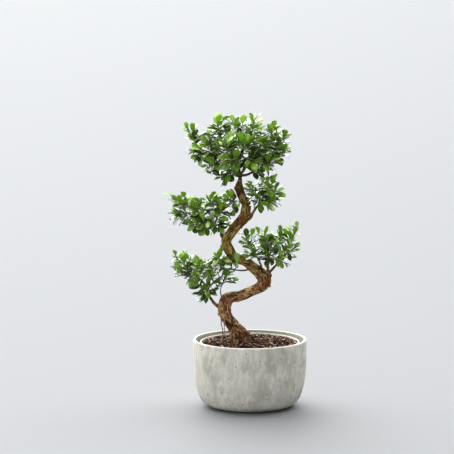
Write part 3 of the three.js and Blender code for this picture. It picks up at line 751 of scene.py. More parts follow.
def chip_shape(size, cut):
    bpy.ops.mesh.primitive_cube_add(size=1)
    edit_all()
    bpy.ops.mesh.bevel(offset=cut, offset_type="OFFSET", segments=1, affect="VERTICES")
    bpy.ops.transform.vertex_random(offset=0.14, seed=int(cut * 100))
    bpy.ops.transform.resize(value=size)
    bpy.ops.object.mode_set(mode="OBJECT")
    return join([bpy.context.object], "chip_shape")


def scatter_chips(shapes):
    chips, tones = [], []
    for number in range(CHIPS):
        chance = [draw(CHIP_DRAWS, number, use) for use in range(8)]
        reach, angle = CHIP_REACH * math.sqrt(chance[0]), chance[1] * math.tau
        x, y = reach * math.cos(angle), reach * math.sin(angle)
        by_trunk = math.hypot(x - TRUNK_LINE[0][0] - 20, y - TRUNK_LINE[0][1]) < FIBRE_RING
        if chance[2] > (0.45 if by_trunk else 0.8):
            kind, tone = FIBRE, 0.6 + chance[7] * 0.4
        else:
            kind, tone = 0 if chance[2] < 0.22 else 1 if chance[2] < 0.5 else 2, chance[7]
        turn = Matrix.Rotation(chance[4] * math.tau, 4, "Z")
        turn = turn @ Matrix.Rotation(between((-0.45, 0.45), chance[5]), 4, "Y")
        turn = turn @ Matrix.Rotation(between((-0.5, 0.5), chance[6]), 4, "X")
        place = Matrix.Translation(Vector((x, y, ground_height(x, y) + 0.4)) * MM)
        chip = copy_of(shapes[kind])
        chip.data.transform(place @ turn @ Matrix.Scale(between((0.6, 1.3), chance[3]) * MM, 4))
        chips.append(chip)
        tones.extend([tone] * len(chip.data.vertices))
    for shape in shapes:
        bpy.data.objects.remove(shape)
    whole = join(chips, "potting_chips")
    mark(whole, "chance", tones)
    return whole


CHIP_BLOCKS = [((11, 3.8, 2), 0.32), ((6.6, 4.6, 2.4), 0.4), ((3.8, 3.2, 2.6), 0.36), ((17, 1.4, 1.1), 0.3)]
chips = scatter_chips([chip_shape(*block) for block in CHIP_BLOCKS])
finish_piece(ground, "potting_soil", "soil")
finish_piece(chips, "potting_soil")
print("chips:", faces_in(chips), "triangles")

# %% [markdown]
# ## The shoots
# Each shoot is a green twig with leaves in a spiral. The frame places its stems and leaves
# by a rule, and we follow the same rule, so the same leaves stand in the same places. The
# real tree has more leaves than the solids hold, so more are then added along each twig,
# wherever one has room.

# %% The outline of each pad from the front
OUTLINES = {}
OUTLINES["crown"] = [
    (-208, 794), (-183, 808), (-147, 805), (-133, 777), (-119, 774), (-131, 802), (-131, 816), (-106, 808),
    (-103, 827), (-72, 833), (-64, 808), (-58, 830), (-17, 833), (-6, 822), (14, 844), (27, 835), (25, 808),
    (36, 813), (55, 805), (72, 824), (97, 827), (100, 799), (83, 785), (111, 780), (111, 763), (102, 755),
    (114, 733), (114, 705), (94, 685), (80, 677), (64, 657), (39, 660), (33, 640), (14, 640), (0, 666),
    (-28, 671), (-42, 640), (-61, 632), (-70, 612), (-92, 618), (-97, 643), (-120, 654), (-147, 677),
    (-170, 699), (-178, 721), (-169, 741), (-183, 758), (-194, 774), (-208, 774)]
OUTLINES["upper_right"] = [
    (-25, 621), (-11, 640), (17, 638), (33, 652), (75, 654), (89, 635), (97, 615), (103, 596), (92, 570),
    (64, 551), (45, 562), (22, 576), (6, 562), (-11, 568), (-19, 593)]
OUTLINES["left_middle"] = [
    (-239, 615), (-217, 604), (-206, 618), (-184, 618), (-175, 593), (-161, 593), (-142, 584), (-125, 596),
    (-111, 601), (-92, 607), (-78, 601), (-61, 612), (-47, 621), (-31, 610), (-25, 582), (-31, 554),
    (-39, 528), (-53, 511), (-67, 500), (-75, 486), (-95, 481), (-114, 489), (-131, 475), (-142, 489),
    (-159, 486), (-170, 506), (-195, 517), (-217, 509), (-234, 528), (-228, 548), (-239, 559), (-228, 579),
    (-242, 601)]
OUTLINES["right_middle"] = [
    (-47, 466), (-28, 475), (-33, 492), (-19, 506), (0, 500), (3, 511), (25, 514), (39, 500), (59, 500),
    (67, 483), (78, 489), (78, 511), (103, 523), (117, 514), (139, 528), (148, 520), (134, 497), (123, 481),
    (140, 452), (140, 438), (120, 438), (120, 416), (109, 404), (104, 388), (81, 388), (70, 404), (51, 404),
    (39, 413), (23, 399), (6, 410), (-11, 421), (-28, 419), (-33, 436), (-25, 450), (-42, 455)]
OUTLINES["lower_left"] = [
    (-223, 407), (-215, 444), (-184, 461), (-164, 450), (-167, 430), (-148, 430), (-134, 419), (-117, 407),
    (-103, 427), (-100, 441), (-78, 447), (-56, 452), (-36, 444), (-33, 424), (-19, 407), (-22, 390),
    (-42, 382), (-30, 368), (-28, 351), (-47, 345), (-67, 351), (-72, 331), (-81, 325), (-81, 303),
    (-103, 297), (-114, 303), (-120, 289), (-140, 283), (-148, 289), (-148, 308), (-162, 314), (-170, 334),
    (-184, 348), (-193, 365), (-207, 368), (-218, 385)]


def inside(points, outline):
    """Whether each point, seen from the camera, lies inside the outline in the plane of the trunk."""
    seen = EYE + (points - EYE) * (EYE[1] / (EYE[1] - points[:, 1]))[:, None]
    here = np.array(outline, float)
    there = np.roll(here, -1, axis=0)
    x, z = seen[:, :1], seen[:, 2:]
    straddles = (here[:, 1] > z) != (there[:, 1] > z)
    rise = np.where(there[:, 1] == here[:, 1], 1.0, there[:, 1] - here[:, 1])
    crossing = here[:, 0] + (z - here[:, 1]) / rise * (there[:, 0] - here[:, 0])
    return (straddles & (x < crossing)).sum(axis=1) % 2 == 1


print("outlines:", {name: len(outline) for name, outline in OUTLINES.items()})

# %% Stems on their arms
SEAT_STEP, SEAT_SPACING, SEAT_PULL, END_SEAT_BONUS, BARE_SHARE = 5, 8, 26, 12, 0.35
UP = np.array((0.0, 0.0, 1.0))
STEMS = []


def seats_on(arm):
    """Places every few millimetres on an arm where a stem may start."""
    points, radii = arm
    corners = np.array(points, float)
    seats = []
    for number, (corner, span) in enumerate(zip(corners, np.diff(corners, axis=0))):
        parts = max(int(np.linalg.norm(span) / SEAT_STEP + 0.5), 1)
        for part in range(parts):
            share = (number + part / parts) / (len(corners) - 1)
            seats.append(dict(place=corner + span * part / parts, along=unit(span),
                              radius=between(radii, share), share=share, taken=False))
    seats.append(dict(seats[-1], place=corners[-1], radius=radii[1], share=1))
    return [seat for seat in seats if seat["share"] > BARE_SHARE]


def take_seat(wish, seats):
    def cost(seat):
        return np.linalg.norm(seat["place"] - wish) - END_SEAT_BONUS * (seat["share"] == 1)

    best = min((seat for seat in seats if not seat["taken"]), key=cost)
    for seat in seats:
        seat["taken"] = seat["taken"] or np.linalg.norm(seat["place"] - best["place"]) < SEAT_SPACING
    return best


class Stem:
    """A shoot or a side twig: a bent line from its foot to its tip."""

    def __init__(self, number, foot, out, lean, tip):
        self.number = number
        self.length = np.linalg.norm(tip - foot)
        self.ends = (foot, foot + out * self.length * 0.25, tip - lean * self.length * 0.4, tip)
        self.leaves, self.twigs = [], []

    def point(self, t):
        a, b, c, d = self.ends
        return (1 - t) ** 3 * a + 3 * (1 - t) ** 2 * t * b + 3 * (1 - t) * t ** 2 * c + t ** 3 * d

    def heading(self, t):
        return unit(self.point(min(t + 1e-4, 1)) - self.point(max(t - 1e-4, 0)))


def grow_stems(name, pad):
    seats = [seat for arm in pad["arms"] for seat in seats_on(arm)]
    heart, tips = np.array(pad["heart"], float), np.array(pad["tips"], float)
    for number, tip in enumerate(tips):
        lean = unit(unit(tip - heart) + UP * pad["lift"])
        wish = tip - lean * SEAT_PULL
        seat = take_seat(wish, seats)
        place, along, at_end = seat["place"], seat["along"], seat["share"] == 1
        out = wish - place
        out = unit(unit(out) + along if at_end else out - along * out.dot(along))
        stem = Stem(len(STEMS), place + out * (0 if at_end else seat["radius"] * 0.7), out, lean, tip)
        stem.name, stem.pad, stem.outline = f"shoot_{name}_{number + 1}", pad, OUTLINES[name]
        stem.vigour = (tip[2] - heart[2]) / (tips[:, 2].max() - heart[2])
        STEMS.append(stem)


for name, pad in PADS.items():
    grow_stems(name, pad)
print("stems:", len(STEMS))

# %% [markdown]
# ## Where a leaf may grow
# A leaf has a frame: its root on the twig, the way it points, the way its upper face looks,
# and its size, fold and droop. Before a leaf is placed, points spread over its blade are
# compared with the wood and with all the leaves that are there already. If it has no room
# it is turned a little and raised, and tried again.

# %% Leaf frames
LEAVES_PER_SHOOT, LEAFY_LENGTH = 6, 36
GOLDEN_ANGLE, FULL_TURN = 2.39996, 6.283
LEAF_LENGTH, LEAF_WIDTH = 40, 23


def leaf_frame(stem, leaf, attempt):
    """The frame of one of the six leaves that the solids have too."""
    rank = leaf / (LEAVES_PER_SHOOT - 1)
    share = max(1 - (LEAFY_LENGTH * (1 - rank)) / stem.length, 0.2)
    turn = (1 if attempt % 2 == 0 else -1) * math.ceil(attempt / 2) * 0.32
    angle = draw(stem.number, 0, 0) * FULL_TURN + leaf * GOLDEN_ANGLE + turn
    chance = [draw(stem.number, leaf, use) for use in range(7)]
    spread = between((1.35, 0.4), rank) + between((-0.15, 0.15), chance[1]) - attempt * 0.05
    size = between((1, 0.72), rank * rank) * between((0.88, 1.12), chance[3])
    return frame_at(stem, share, angle, spread, size, chance, leaf >= 3)


def frame_at(stem, share, angle, spread, size, chance, young, looks=(1, 0.35), sway=0.35):
    """A leaf on a stem, turned round it by an angle and spread from it. Its upper face looks
    along the stem and up, by the two numbers in looks, and sways a little."""
    axis = stem.heading(share)
    side = np.array((0.0, 1.0, 0.0))
    side = unit(side - axis * side.dot(axis))
    other = np.cross(axis, side)
    out = axis * math.cos(spread) + (side * math.cos(angle) + other * math.sin(angle)) * math.sin(spread)
    face = axis * looks[0] + UP * looks[1]
    face = unit(face - out * face.dot(out))
    roll = between((-sway, sway), chance[2])
    face = face * math.cos(roll) + np.cross(face, out) * math.sin(roll)
    return dict(root=stem.point(share), out=out, face=face, across=np.cross(face, out), young=young,
                length=LEAF_LENGTH * size, width=LEAF_WIDTH * size * between((0.92, 1.08), chance[4]),
                fold=between((0.2, 0.5), chance[5]), droop=between((0.02, 0.22), chance[6]),
                share=share, chance=chance)


def on_leaf(leaf, share, rise, sideways):
    """Places on a leaf, by how far along its midrib, above it and beside it they are."""
    return (leaf["root"] + np.outer(leaf["length"] * share, leaf["out"])
            + np.outer(rise, leaf["face"]) + np.outer(sideways, leaf["across"]))


SPOTS = [(share, reach) for share in (0.25, 0.4, 0.55, 0.7, 0.85, 0.98)
         for reach in (-0.95, -0.5, 0, 0.5, 0.95)]
SHARES, REACHES = np.array(SPOTS).T
MIDDLE = SPOTS.index((0.55, 0))


def samples_of(leaf):
    """Points spread over the blade of a leaf."""
    half = leaf["width"] / 2 * np.sin(np.pi * np.minimum(SHARES, 0.96) ** 1.25)
    sideways = half * REACHES
    rise = np.abs(sideways) * leaf["fold"] - leaf["length"] * leaf["droop"] * SHARES ** 2
    return on_leaf(leaf, SHARES, rise, sideways)


print("points that are tested on each leaf:", len(SPOTS))

# %% Room for leaves
NEIGHBOURS, ATTEMPTS = 60, 11
ROWS = [TRUNK_LINE, *[with_radii(*arm) for arm in ARMS]]
SEGMENTS = [segment for row in ROWS for segment in zip(row, row[1:])]
STARTS = np.array([start[:3] for start, end in SEGMENTS], float)
SPANS = np.array([end[:3] for start, end in SEGMENTS], float) - STARTS
RADII = np.array([max(start[3], end[3]) for start, end in SEGMENTS], float)


def along_wood(points):
    """From the start of each segment: to each point, and to the spot on it that is nearest."""
    offset = points[:, None] - STARTS
    share = np.clip((offset * SPANS).sum(2) / (SPANS ** 2).sum(1), 0, 1)
    return offset, share[..., None] * SPANS


def clear_of_wood(samples, room=1.5):
    offset, along = along_wood(samples)
    return bool((np.linalg.norm(offset - along, axis=2) > RADII + room).all())


class Room:
    """What stands in the air already: leaves and twigs, by their sample points."""

    def __init__(self):
        self.middles, self.samples, self.owners, self.twigs = [], [], [], []

    def fill(self, samples, owner, twig=False):
        self.middles.append(samples[1 if twig else MIDDLE])
        self.samples.append(samples)
        self.owners.append(owner)
        self.twigs.append(twig)

    def has_room(self, samples, owner, clearance, near_clearance, itself=None):
        close = np.linalg.norm(np.array(self.middles) - samples[MIDDLE], axis=1) <= NEIGHBOURS
        for number in np.nonzero(close)[0]:
            own = self.owners[number] == owner
            if number == itself or (self.twigs[number] and own):
                continue
            gaps = np.linalg.norm(samples[:, None] - self.samples[number][None], axis=2)
            if gaps.min() <= (near_clearance if own else clearance):
                return False
        return True


room = Room()
for stem in STEMS:
    parts = max(int(stem.length / 12 + 0.5), 2)
    for part in range(parts):
        points = [stem.point((part + share) / parts) for share in (0.15, 0.4, 0.65, 0.9)]
        room.fill(np.array(points), stem.number, twig=True)


def put_first(stem, leaves, from_wood, from_others, from_own, least_inside=0.0):
    """Put the first of the leaves that has room, by its gaps in millimetres, on the shoot."""
    for leaf in leaves:
        samples = samples_of(leaf)
        if (inside(samples, stem.outline).mean() >= least_inside and clear_of_wood(samples, from_wood)
                and room.has_room(samples, stem.number, from_others, from_own)):
            leaf["place"] = len(room.samples)
            stem.leaves.append(leaf)
            room.fill(samples, stem.number)
            return


for leaf in reversed(range(LEAVES_PER_SHOOT)):
    for stem in STEMS:
        leaves = (leaf_frame(stem, leaf, attempt) for attempt in range(ATTEMPTS))
        put_first(stem, leaves, from_wood=1.5, from_others=4, from_own=3)
print("leaves that the solids have too:", sum(len(stem.leaves) for stem in STEMS))

# %% Raise them and turn their faces to the sky
MOST_ROLL, MOST_LIFT, MOST_OUTSIDE = 0.6, 0.15, 0.4
# How far a leaf turns, and its size: these are tried in turn until it has room.
AS_THEY_ARE = [(1.0, 1.0), (0.5, 1.0), (0.2, 1.0), (2.0, 0.9), (3.0, 0.8)]
SMALLER = [(1.6, 0.85), (1.0, 0.85), (0.7, 0.9), (0.4, 0.9)]


def toward_light(leaf, share, most_roll=MOST_ROLL, size=1.0):
    """The leaf as light draws it: its tip a little higher, its upper face turned to the sky."""
    out = leaf["out"]
    level = 1 - min(max((out[2] + 0.2) / 0.9, 0), 1)
    out = unit(out + UP * MOST_LIFT * level * share)
    face = unit(leaf["face"] - out * out.dot(leaf["face"]))
    lift = np.cross(out, face)
    roll = max(min(math.atan2(UP.dot(lift), UP.dot(face)), most_roll), -most_roll) * min(share, 1)
    face = face * math.cos(roll) + lift * math.sin(roll)
    return dict(leaf, out=out, face=face, across=np.cross(face, out),
                length=leaf["length"] * size, width=leaf["width"] * size)


def settle(stem, rank, choices, hold):
    """Move one leaf to the first of the choices that has room, and lies in the outline if it must."""
    leaf = stem.leaves[rank]
    for share, size in choices:
        better = toward_light(leaf, share, size=size * (1 + stem.pad["leaf_size"]) / 2)
        better["width"] *= stem.pad["breadth"]
        samples = samples_of(better)
        outside = 1 - inside(samples, stem.outline).mean()
        if (hold and outside > MOST_OUTSIDE) or not clear_of_wood(samples):
            continue
        if room.has_room(samples, stem.number, 2.2, 1.8, leaf["place"]):
            stem.leaves[rank] = better
            room.samples[leaf["place"]] = samples
            return True
    return False


settled = 0
for stem in STEMS:
    for rank in range(len(stem.leaves)):
        settled += settle(stem, rank, AS_THEY_ARE, True) or settle(stem, rank, SMALLER, False)
print("leaves turned to the sky:", settled)

# %% [markdown]
# ## Side twigs
# A real shoot branches, and its side twigs grow towards the light, into the gaps. Each shoot
# tries twelve directions round itself and grows a short twig into the widest gap that is
# still inside the pad's outline. Some twigs that the rule misses show in the photograph, and
# they are named one by one, by shoot, foot and tip. The foot is then moved to the nearest
# wood, so that every twig grows from what carries it.

# %% Side twigs into the gaps
DIRECTIONS, LEAST_GAP, LOWEST_RISE, NEAR_FOOT = 12, 7, -0.35, 90
TWIG_FEET, TWIG_LENGTHS = (0.2, 0.75), (18, 30)
SIDE_TWIG_DRAWS = 1000


def grow_twig(stem, number, foot, out, lean, tip):
    """A twig leaves its foot in the direction out, and leans into its last direction."""
    twig = Stem(number, foot, out, lean, tip)
    stem.twigs.append(twig)
    points = [twig.point(share) for share in (0.4, 0.6, 0.8, 0.95)]
    room.fill(np.array(points), stem.number, twig=True)


def side_twig(stem, number):
    """A short twig off the stem, turned to the widest gap that is still inside the pad. A
    point a little past its tip, where its leaves will be, stands for them in the search."""
    start = between(TWIG_FEET, number / (stem.pad["twigs"] - 1))
    foot, axis = stem.point(start), stem.heading(start)
    side = unit(np.cross(axis, np.array((0.3, 0.2, 1.0))))
    other = np.cross(axis, side)
    taken = np.vstack(room.samples)
    taken = taken[np.linalg.norm(taken - foot, axis=1) < NEAR_FOOT]
    length = between(TWIG_LENGTHS, draw(stem.number, number, 21))
    best, best_gap = None, LEAST_GAP
    for direction in range(DIRECTIONS):
        angle = (direction + draw(stem.number, number, 20)) / DIRECTIONS * math.tau
        out = unit(axis * 0.5 + (side * math.cos(angle) + other * math.sin(angle)) * 0.9 + UP * 0.25)
        lean = unit(out + UP * 0.4)
        tip = foot + out * length * 0.6 + lean * length * 0.4
        if out[2] < LOWEST_RISE or not inside(np.array([tip, tip + lean * 14]), stem.outline).all():
            continue
        gap = np.linalg.norm(taken - (tip + lean * 8), axis=1).min()
        points = np.array([foot + (tip - foot) * share for share in (0.5, 0.75, 1.0)])
        if gap > best_gap and clear_of_wood(points, 2.5):
            best, best_gap = (out, lean, tip), gap
    if best:
        grow_twig(stem, SIDE_TWIG_DRAWS + stem.number * 10 + number, foot, *best)


for number in range(max(pad["twigs"] for pad in PADS.values())):
    for stem in STEMS:
        if number < stem.pad["twigs"]:
            side_twig(stem, number)
print("side twigs by the rule:", sum(len(stem.twigs) for stem in STEMS))

# %% Side twigs that the photograph shows
SEEN_TWIG_DRAWS = 2000
SEEN_TWIGS = [
    ("lower_left_7", (-52, -18, 388), (-50, -44, 420)), ("lower_left_7", (-44, -15, 387), (-32, -38, 408)),
    ("lower_left_8", (-70, -46, 364), (-42, -54, 372)), ("lower_left_5", (-84, -40, 368), (-90, -58, 388)),
    ("lower_left_1", (-182, -8, 404), (-210, -12, 424)), ("lower_left_2", (-180, -19, 375), (-208, -24, 388)),
    ("left_middle_1", (-190, -8, 570), (-216, -10, 594)), ("left_middle_5", (-80, -27, 553), (-56, -36, 548)),
    ("left_middle_8", (-92, -36, 516), (-62, -40, 522)), ("left_middle_10", (-38, -13, 581), (-46, -34, 562)),
    ("right_middle_1", (119, 1, 474), (133, -4, 502)), ("right_middle_3", (82, -39, 421), (106, -40, 408)),
    ("right_middle_6", (-4, -10, 458), (-14, -16, 486)), ("upper_right_1", (52, -2, 612), (68, -8, 636)),
    ("upper_right_4", (16, -23, 606), (0, -22, 630)), ("upper_right_4", (22, -18, 592), (-2, -30, 600)),
    ("upper_right_5", (14, 5, 554), (10, -18, 574)), ("crown_11", (-104, -35, 692), (-108, -52, 664)),
    ("crown_12", (-68, -30, 660), (-92, -44, 650)),
]


def nearest_wood(stem, place):
    """The point on the shoot's own stem or on a branch that is nearest to a place."""
    on_stem = [stem.point(share) for share in np.linspace(0, 1, 21)]
    points = np.vstack([on_stem, STARTS + along_wood(place[None])[1][0]])
    return points[np.linalg.norm(points - place, axis=1).argmin()]


for number, (name, foot, tip) in enumerate(SEEN_TWIGS):
    stem = next(stem for stem in STEMS if stem.name == "shoot_" + name)
    foot, tip = nearest_wood(stem, np.array(foot, float)), np.array(tip, float)
    lean = unit(tip - foot)
    grow_twig(stem, SEEN_TWIG_DRAWS + number, foot, unit(lean - UP * 0.4), lean, tip)
print("side twigs:", sum(len(stem.twigs) for stem in STEMS))

# %% More leaves where there is room
MORE_ATTEMPTS = 9


def extra_frame(pad, twig, number, count, attempt):
    """A leaf between the others: the nearer the tip, the smaller and the more upright."""
    chance = [draw(twig.number, 10 + number, use) for use in range(8)]
    share = between((0.98, 0.2), (number + chance[7] * 0.7) / count)
    angle = draw(twig.number, 1, 8) * FULL_TURN + number * GOLDEN_ANGLE + attempt * 0.9
    spread = between((1.55, 0.75), share) + between((-0.25, 0.25), chance[1]) - attempt * 0.03
    size = between((0.82, 1.14), chance[3]) * between((1, 0.86), share) - attempt * 0.02
    leaf = frame_at(twig, share, angle, spread, size, chance, share > 0.75, looks=(0.15, 1), sway=0.6)
    leaf["length"] *= pad["leaf_size"]
    leaf["width"] *= pad["leaf_size"] * pad["breadth"]
    return toward_light(leaf, 1.0, most_roll=0.0)


def grow_leaf(stem, twig, number, count):
    leaves = (extra_frame(stem.pad, twig, number, count, attempt) for attempt in range(MORE_ATTEMPTS))
    put_first(stem, leaves, from_wood=1.0, from_others=2.8, from_own=2.2, least_inside=0.85)


for number in range(max(pad["more_leaves"] for pad in PADS.values())):
    for stem in STEMS:
        on_twig, on_stem = stem.pad["twig_leaves"], stem.pad["more_leaves"]
        for twig in stem.twigs:
            if number < on_twig:
                grow_leaf(stem, twig, number, on_twig)
        if number < on_stem:
            grow_leaf(stem, stem, number, on_stem)
print("leaves in all:", sum(len(stem.leaves) for stem in STEMS))

# %% [markdown]
# ## One leaf, modelled once
# A fig leaf is a blunt oval, widest past its middle, on a short stalk, folded up a little
# along its midrib. The model leaf is a grid whose rows are moved and resized to the outline
# and then given a thickness. A young leaf has rows of its own. Both stay flat and one unit
# long: each copy is bent by its own fold and droop as it is placed.

# %% Leaf shape
GROWN_ROWS = [(0.0, 0.055), (0.12, 0.06), (0.23, 0.44), (0.38, 0.83),
              (0.56, 1.0), (0.76, 0.86), (0.91, 0.47), (1.0, 0.08)]
YOUNG_ROWS = [(0.0, 0.055), (0.1, 0.07), (0.25, 0.28), (0.44, 0.62),
              (0.62, 0.93), (0.79, 1.0), (0.93, 0.66), (1.0, 0.15)]


def leaf_shape(rows, name):
    bpy.ops.mesh.primitive_grid_add(x_subdivisions=4, y_subdivisions=len(rows) - 1, size=2)
    thing = bpy.context.object
    bpy.ops.object.mode_set(mode="EDIT")
    for number, (share, half) in enumerate(rows):
        height = 2 * number / (len(rows) - 1) - 1
        bpy.ops.mesh.select_all(action="DESELECT")
        bpy.ops.object.mode_set(mode="OBJECT")
        for vertex in thing.data.vertices:
            vertex.select = abs(vertex.co.y - height) < 0.01 and abs(vertex.co.z) < 0.5
        bpy.ops.object.mode_set(mode="EDIT")
        bpy.ops.transform.resize(value=(half, 1, 1), center_override=(0, height, 0))
        bpy.ops.transform.translate(value=(0, share - height, 1))
    bpy.ops.mesh.select_all(action="SELECT")
    bpy.ops.transform.translate(value=(0, 0, -1))
    bpy.ops.mesh.faces_shade_smooth()
    bpy.ops.object.mode_set(mode="OBJECT")
    add_modifier(thing, "SOLIDIFY", thickness=1, offset=0)
    return join([thing], name)


LEAF_SHAPES = {False: leaf_shape(GROWN_ROWS, "grown_leaf_shape"),
               True: leaf_shape(YOUNG_ROWS, "young_leaf_shape")}
print("one leaf:", faces_in(LEAF_SHAPES[False]), "triangles")

# %% [markdown]
# ## The finish of the leaves
# A leaf is dark glossy green with a pale midrib and faint side veins. New leaves at the
# tips are thin and yellow green, and when light falls on them from behind they glow. A leaf
# lets some light through, so part of the finish is a Translucent shader. Two numbers on
# every leaf vary the colour from leaf to leaf: its youth, and a chance that is partly its
# own and partly painted shade, which darkens the leaves that sit deep in a pad. The
# veins follow the leaf's own map. One finish serves both faces of a leaf.

# %% Leaf paint
def leaf_paint():
    paint = Paint("fig_leaf")
    youth, chance = paint.reads("youth"), paint.reads("chance")
    spot = paint.add("SeparateXYZ", {}, [paint.add("UVMap", {"uv_map": "UVMap"})])
    across, along = abs(spot.out("X") - 0.5) * 2, spot.out("Y")
    midrib = across.band(0.1, 0.02)
    veins = paint.add("Math", {"operation": "SINE"}, [(along * 1.6 - across * 0.34) * 58])
    veins = veins.band(0.55, 1.0) * across.band(1.0, 0.8) * 0.35
    blotch = paint.noise(paint.here(), 90)
    deep_green = (10, 34, 4)
    # A high chance paints a leaf deep green. This is partly at random and partly painted shade on leaves that
    # sit low on their shoot, deep in the pad.
    shade = paint.coats(
        (132, 182, 48), (chance.band(0.42, 0.66), deep_green),
        (youth, (184, 224, 30)),  # yellow green
        (blotch.band(0.35, 0.7) * 0.25, deep_green),
        (midrib * 0.7 + veins * 0.3, (182, 208, 106)))  # pale ribs
    gloss = paint.surface(
        {"Base Color": shade, "Roughness": blotch.band(0.3, 0.7, 0.3, 0.4), "Coat Weight": 1.0,
         "Coat Roughness": 0.14, "Specular IOR Level": 0.22}, veins * -1 - midrib, 0.2, 0.0005)
    glow = paint.add("BsdfTranslucent", {}, {"Color": (160, 206, 34)})
    return paint.finish(paint.add("MixShader", {}, [0.15 + youth * 0.28, gloss, glow]))


def twig_paint():
    paint = Paint("green_twig")
    fine = paint.noise(paint.here(), 420, 3)
    shade = paint.coats((112, 116, 62), (fine.band(0.35, 0.65), (86, 70, 48)))
    return paint.finish(paint.surface({"Base Color": shade, "Roughness": 0.6}, fine, 0.3, 0.0004))


FIG_LEAF, TWIG = leaf_paint(), twig_paint()
for shape in LEAF_SHAPES.values():
    wear(shape, FIG_LEAF)

# %% Build every shoot
LEAF_THICKNESS, STALK_THICKNESS, STALK_SHARE = 0.55, 1.32, 0.2
TWIG_RADII, KNUCKLE, BETWEEN_KNUCKLES = (2.0, 1.15), 1.15, 0.95


def youth_of(leaf, vigour):
    """New leaves stand near the tips, most of all on the shoots that reach highest."""
    near_tip = min(max((leaf["share"] - 0.6) / 0.4, 0), 1)
    reach = min(max(vigour - 0.35, 0) / 0.5, 1)
    return near_tip * (0.25 * leaf["chance"][4] + 0.85 * reach * leaf["chance"][6] ** 0.5)


def place_leaf(leaf, vigour):
    """A copy of the model leaf, bent and turned into its frame, with its youth, and a chance that also
    darkens leaves deep in the pad as painted shade.
    """
    copy, chance = copy_of(LEAF_SHAPES[leaf["young"]]), leaf["chance"]
    across, share, face = points_of(copy).T
    sideways = across * leaf["width"] / 2
    rise = np.abs(sideways) * leaf["fold"] - across ** 2 * leaf["width"] * 0.09
    twist = between((-0.35, 0.35), chance[0]) * sideways
    rise += (twist - leaf["length"] * leaf["droop"]) * share ** 2
    rise += face * np.where(share < STALK_SHARE, STALK_THICKNESS, LEAF_THICKNESS)
    set_points(copy, on_leaf(leaf, share, rise, sideways) * MM)
    mark(copy, "youth", youth_of(leaf, vigour))
    # The chance is partly random and partly painted shade: leaves low on their shoot, deep in the pad, get
    # more of it and are painted darker.
    mark(copy, "chance", 0.65 * chance[5] + 0.5 * (1 - leaf["share"]))
    return copy


def twig_of(stem, thickness=1.0):
    """The stem as a tube with a knuckle at every other step, and a pointed bud."""
    steps = max(int(stem.length / 6), 4)
    line = []
    for step in range(steps + 1):
        radius = between(TWIG_RADII, step / steps) * (KNUCKLE if step % 2 else BETWEEN_KNUCKLES)
        line.append((*stem.point(step / steps), radius * thickness))
    tip, ahead = stem.point(1), stem.heading(1)
    twig = limb([*line, (*(tip + ahead * 5), 0.9 * thickness), (*(tip + ahead * 9), 0.15)], 1)
    wear(twig, TWIG)
    bpy.ops.object.shade_smooth()
    mark(twig, "youth", 0.5)
    mark(twig, "chance", 0.5)
    return twig


largest = 0
for stem in STEMS:
    twigs = [twig_of(stem), *[twig_of(twig, 0.75) for twig in stem.twigs]]
    shoot = join([*twigs, *[place_leaf(leaf, stem.vigour) for leaf in stem.leaves]], "leafy_" + stem.name)
    finish_piece(shoot, "leaf", stem.name)
    largest = max(largest, faces_in(shoot))
for shape in LEAF_SHAPES.values():
    bpy.data.objects.remove(shape)
print("shoots built:", len(STEMS), "largest:", largest, "triangles")

# %% [markdown]
# ## The finish of the pots and the soil
# Fibre clay is pale grey with soft upright streaks, greenish and pinkish clouds, and small
# pits where air was trapped. The streaks come from a noise that is stretched upwards. The
# liner is plain off-white plastic with a little dust on it. Soil and chips are matt: the
# soil is crumbs of near black and brown, and each chip takes one of eight shades by its own
# chance, with fibres of a darker brown.

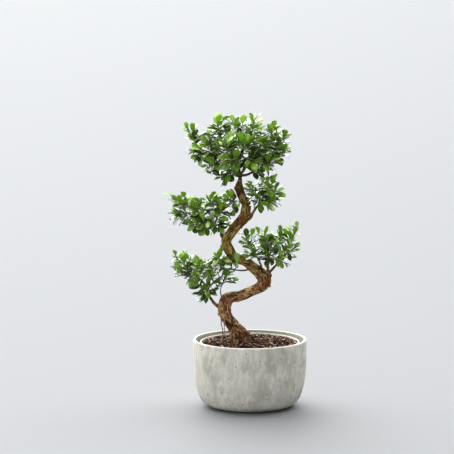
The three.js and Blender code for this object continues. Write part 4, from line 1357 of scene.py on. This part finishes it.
# %% Clay paint
def clay_paint():
    paint = Paint("fibre_clay")
    place = paint.here()
    streaks = paint.noise(place, 75, 4, 0.65, 0.3).band(0.3, 0.72)
    strokes = paint.noise(place, 250, 3, 0.6, 0.14)
    clouds = paint.noise(place, 17, 3, rise=0.75)
    tint = paint.noise(place, 30, 4, 0.6, 0.7)
    fine = paint.noise(place, 800, 3, 0.7)
    cells = paint.add("TexVoronoi", {}, {"Vector": paint.stretch(place, 0.7), "Scale": 105.0})
    dots = cells.out("Distance").band(0.24, 0.08)
    chance = paint.add("SeparateColor", {}, [cells.out("Color")]).out("Red")
    pits, grit = dots * chance.band(0.76, 0.78), dots * chance.band(0.14, 0.12)
    shade = paint.coats(
        (222, 220, 210), (streaks, (196, 194, 182)),
        (tint.band(0.52, 0.62) * 0.6, (200, 191, 180)),  # pinkish clouds
        (tint.band(0.48, 0.36) * 0.65, (176, 178, 156)),  # greenish clouds
        (clouds.band(0.5, 0.66) * 0.6, (166, 162, 148)),  # grey clouds
        (strokes.band(0.6, 0.7) * 0.7, (234, 233, 226)),  # light strokes
        (strokes.band(0.42, 0.3) * 0.5, (146, 140, 128)),  # dark strokes
        (fine.band(0.4, 0.7) * 0.25, (158, 156, 146)),
        (pits * 0.85, (96, 90, 78)), (grit * 0.4, (236, 234, 226)),
        (paint.reads("inside_wall_shade") * 0.75, (140, 142, 122)),  # painted shade on the inside wall, in a greenish grey
        (paint.height().band(0.1878, 0.1892) * 0.7, (230, 228, 220)))  # painted highlight along the top of the rim
    look = {"Base Color": shade, "Roughness": streaks.band(0, 1, 0.8, 0.92)}
    bump = fine * 0.3 + streaks * 0.4 + strokes * 0.8 - pits * 2.5 + grit * 0.5
    return paint.finish(paint.surface(look, bump, 0.5, 0.001))


wear(planter, clay_paint())

# %% Plastic, soil and chip paint
def plastic_paint():
    paint = Paint("liner_plastic")
    dust = paint.noise(paint.here(), 60, 4, 0.6)
    shade = paint.coats((226, 224, 214), (dust.band(0.45, 0.75), (176, 162, 140)))
    look = {"Base Color": shade, "Roughness": dust.band(0.3, 0.7, 0.38, 0.6)}
    return paint.finish(paint.surface(look, dust, 0.15, 0.0005))


def soil_paint():
    paint = Paint("dark_soil")
    crumbs, clods = paint.noise(paint.here(), 330, 4, 0.7), paint.noise(paint.here(), 60)
    stops = [(0.36, 8, 4, 2), (0.75, 64, 42, 28), (0.55, 24, 13, 8)]
    shade = paint.add("ValToRGB", {"stops": stops}, [crumbs * 0.8 + clods * 0.25])
    look = {"Base Color": shade, "Roughness": 0.95, "Specular IOR Level": 0.1}
    return paint.finish(paint.surface(look, crumbs, 0.9, 0.003))


def chip_paint():
    paint = Paint("bark_chips")
    fibre = paint.noise(paint.here(), 500, 3, 0.6)
    stops = [(0.0, 12, 5, 2), (0.3, 27, 13, 6), (0.5, 56, 31, 18), (0.6, 106, 66, 44),
             (0.69, 30, 16, 9), (0.76, 158, 110, 84), (0.88, 150, 122, 70), (0.93, 214, 186, 160)]
    shade = paint.add("ValToRGB", {"stops": stops, "blending": "CONSTANT"}, [paint.reads("chance")])
    shade = paint.coats(shade, (fibre.band(0.45, 0.7) * 0.45, (34, 20, 14)))
    look = {"Base Color": shade, "Roughness": 0.9, "Specular IOR Level": 0.15}
    return paint.finish(paint.surface(look, fibre, 0.6, 0.001))


for piece, material in ((liner, plastic_paint()), (ground, soil_paint()), (chips, chip_paint())):
    wear(piece, material)
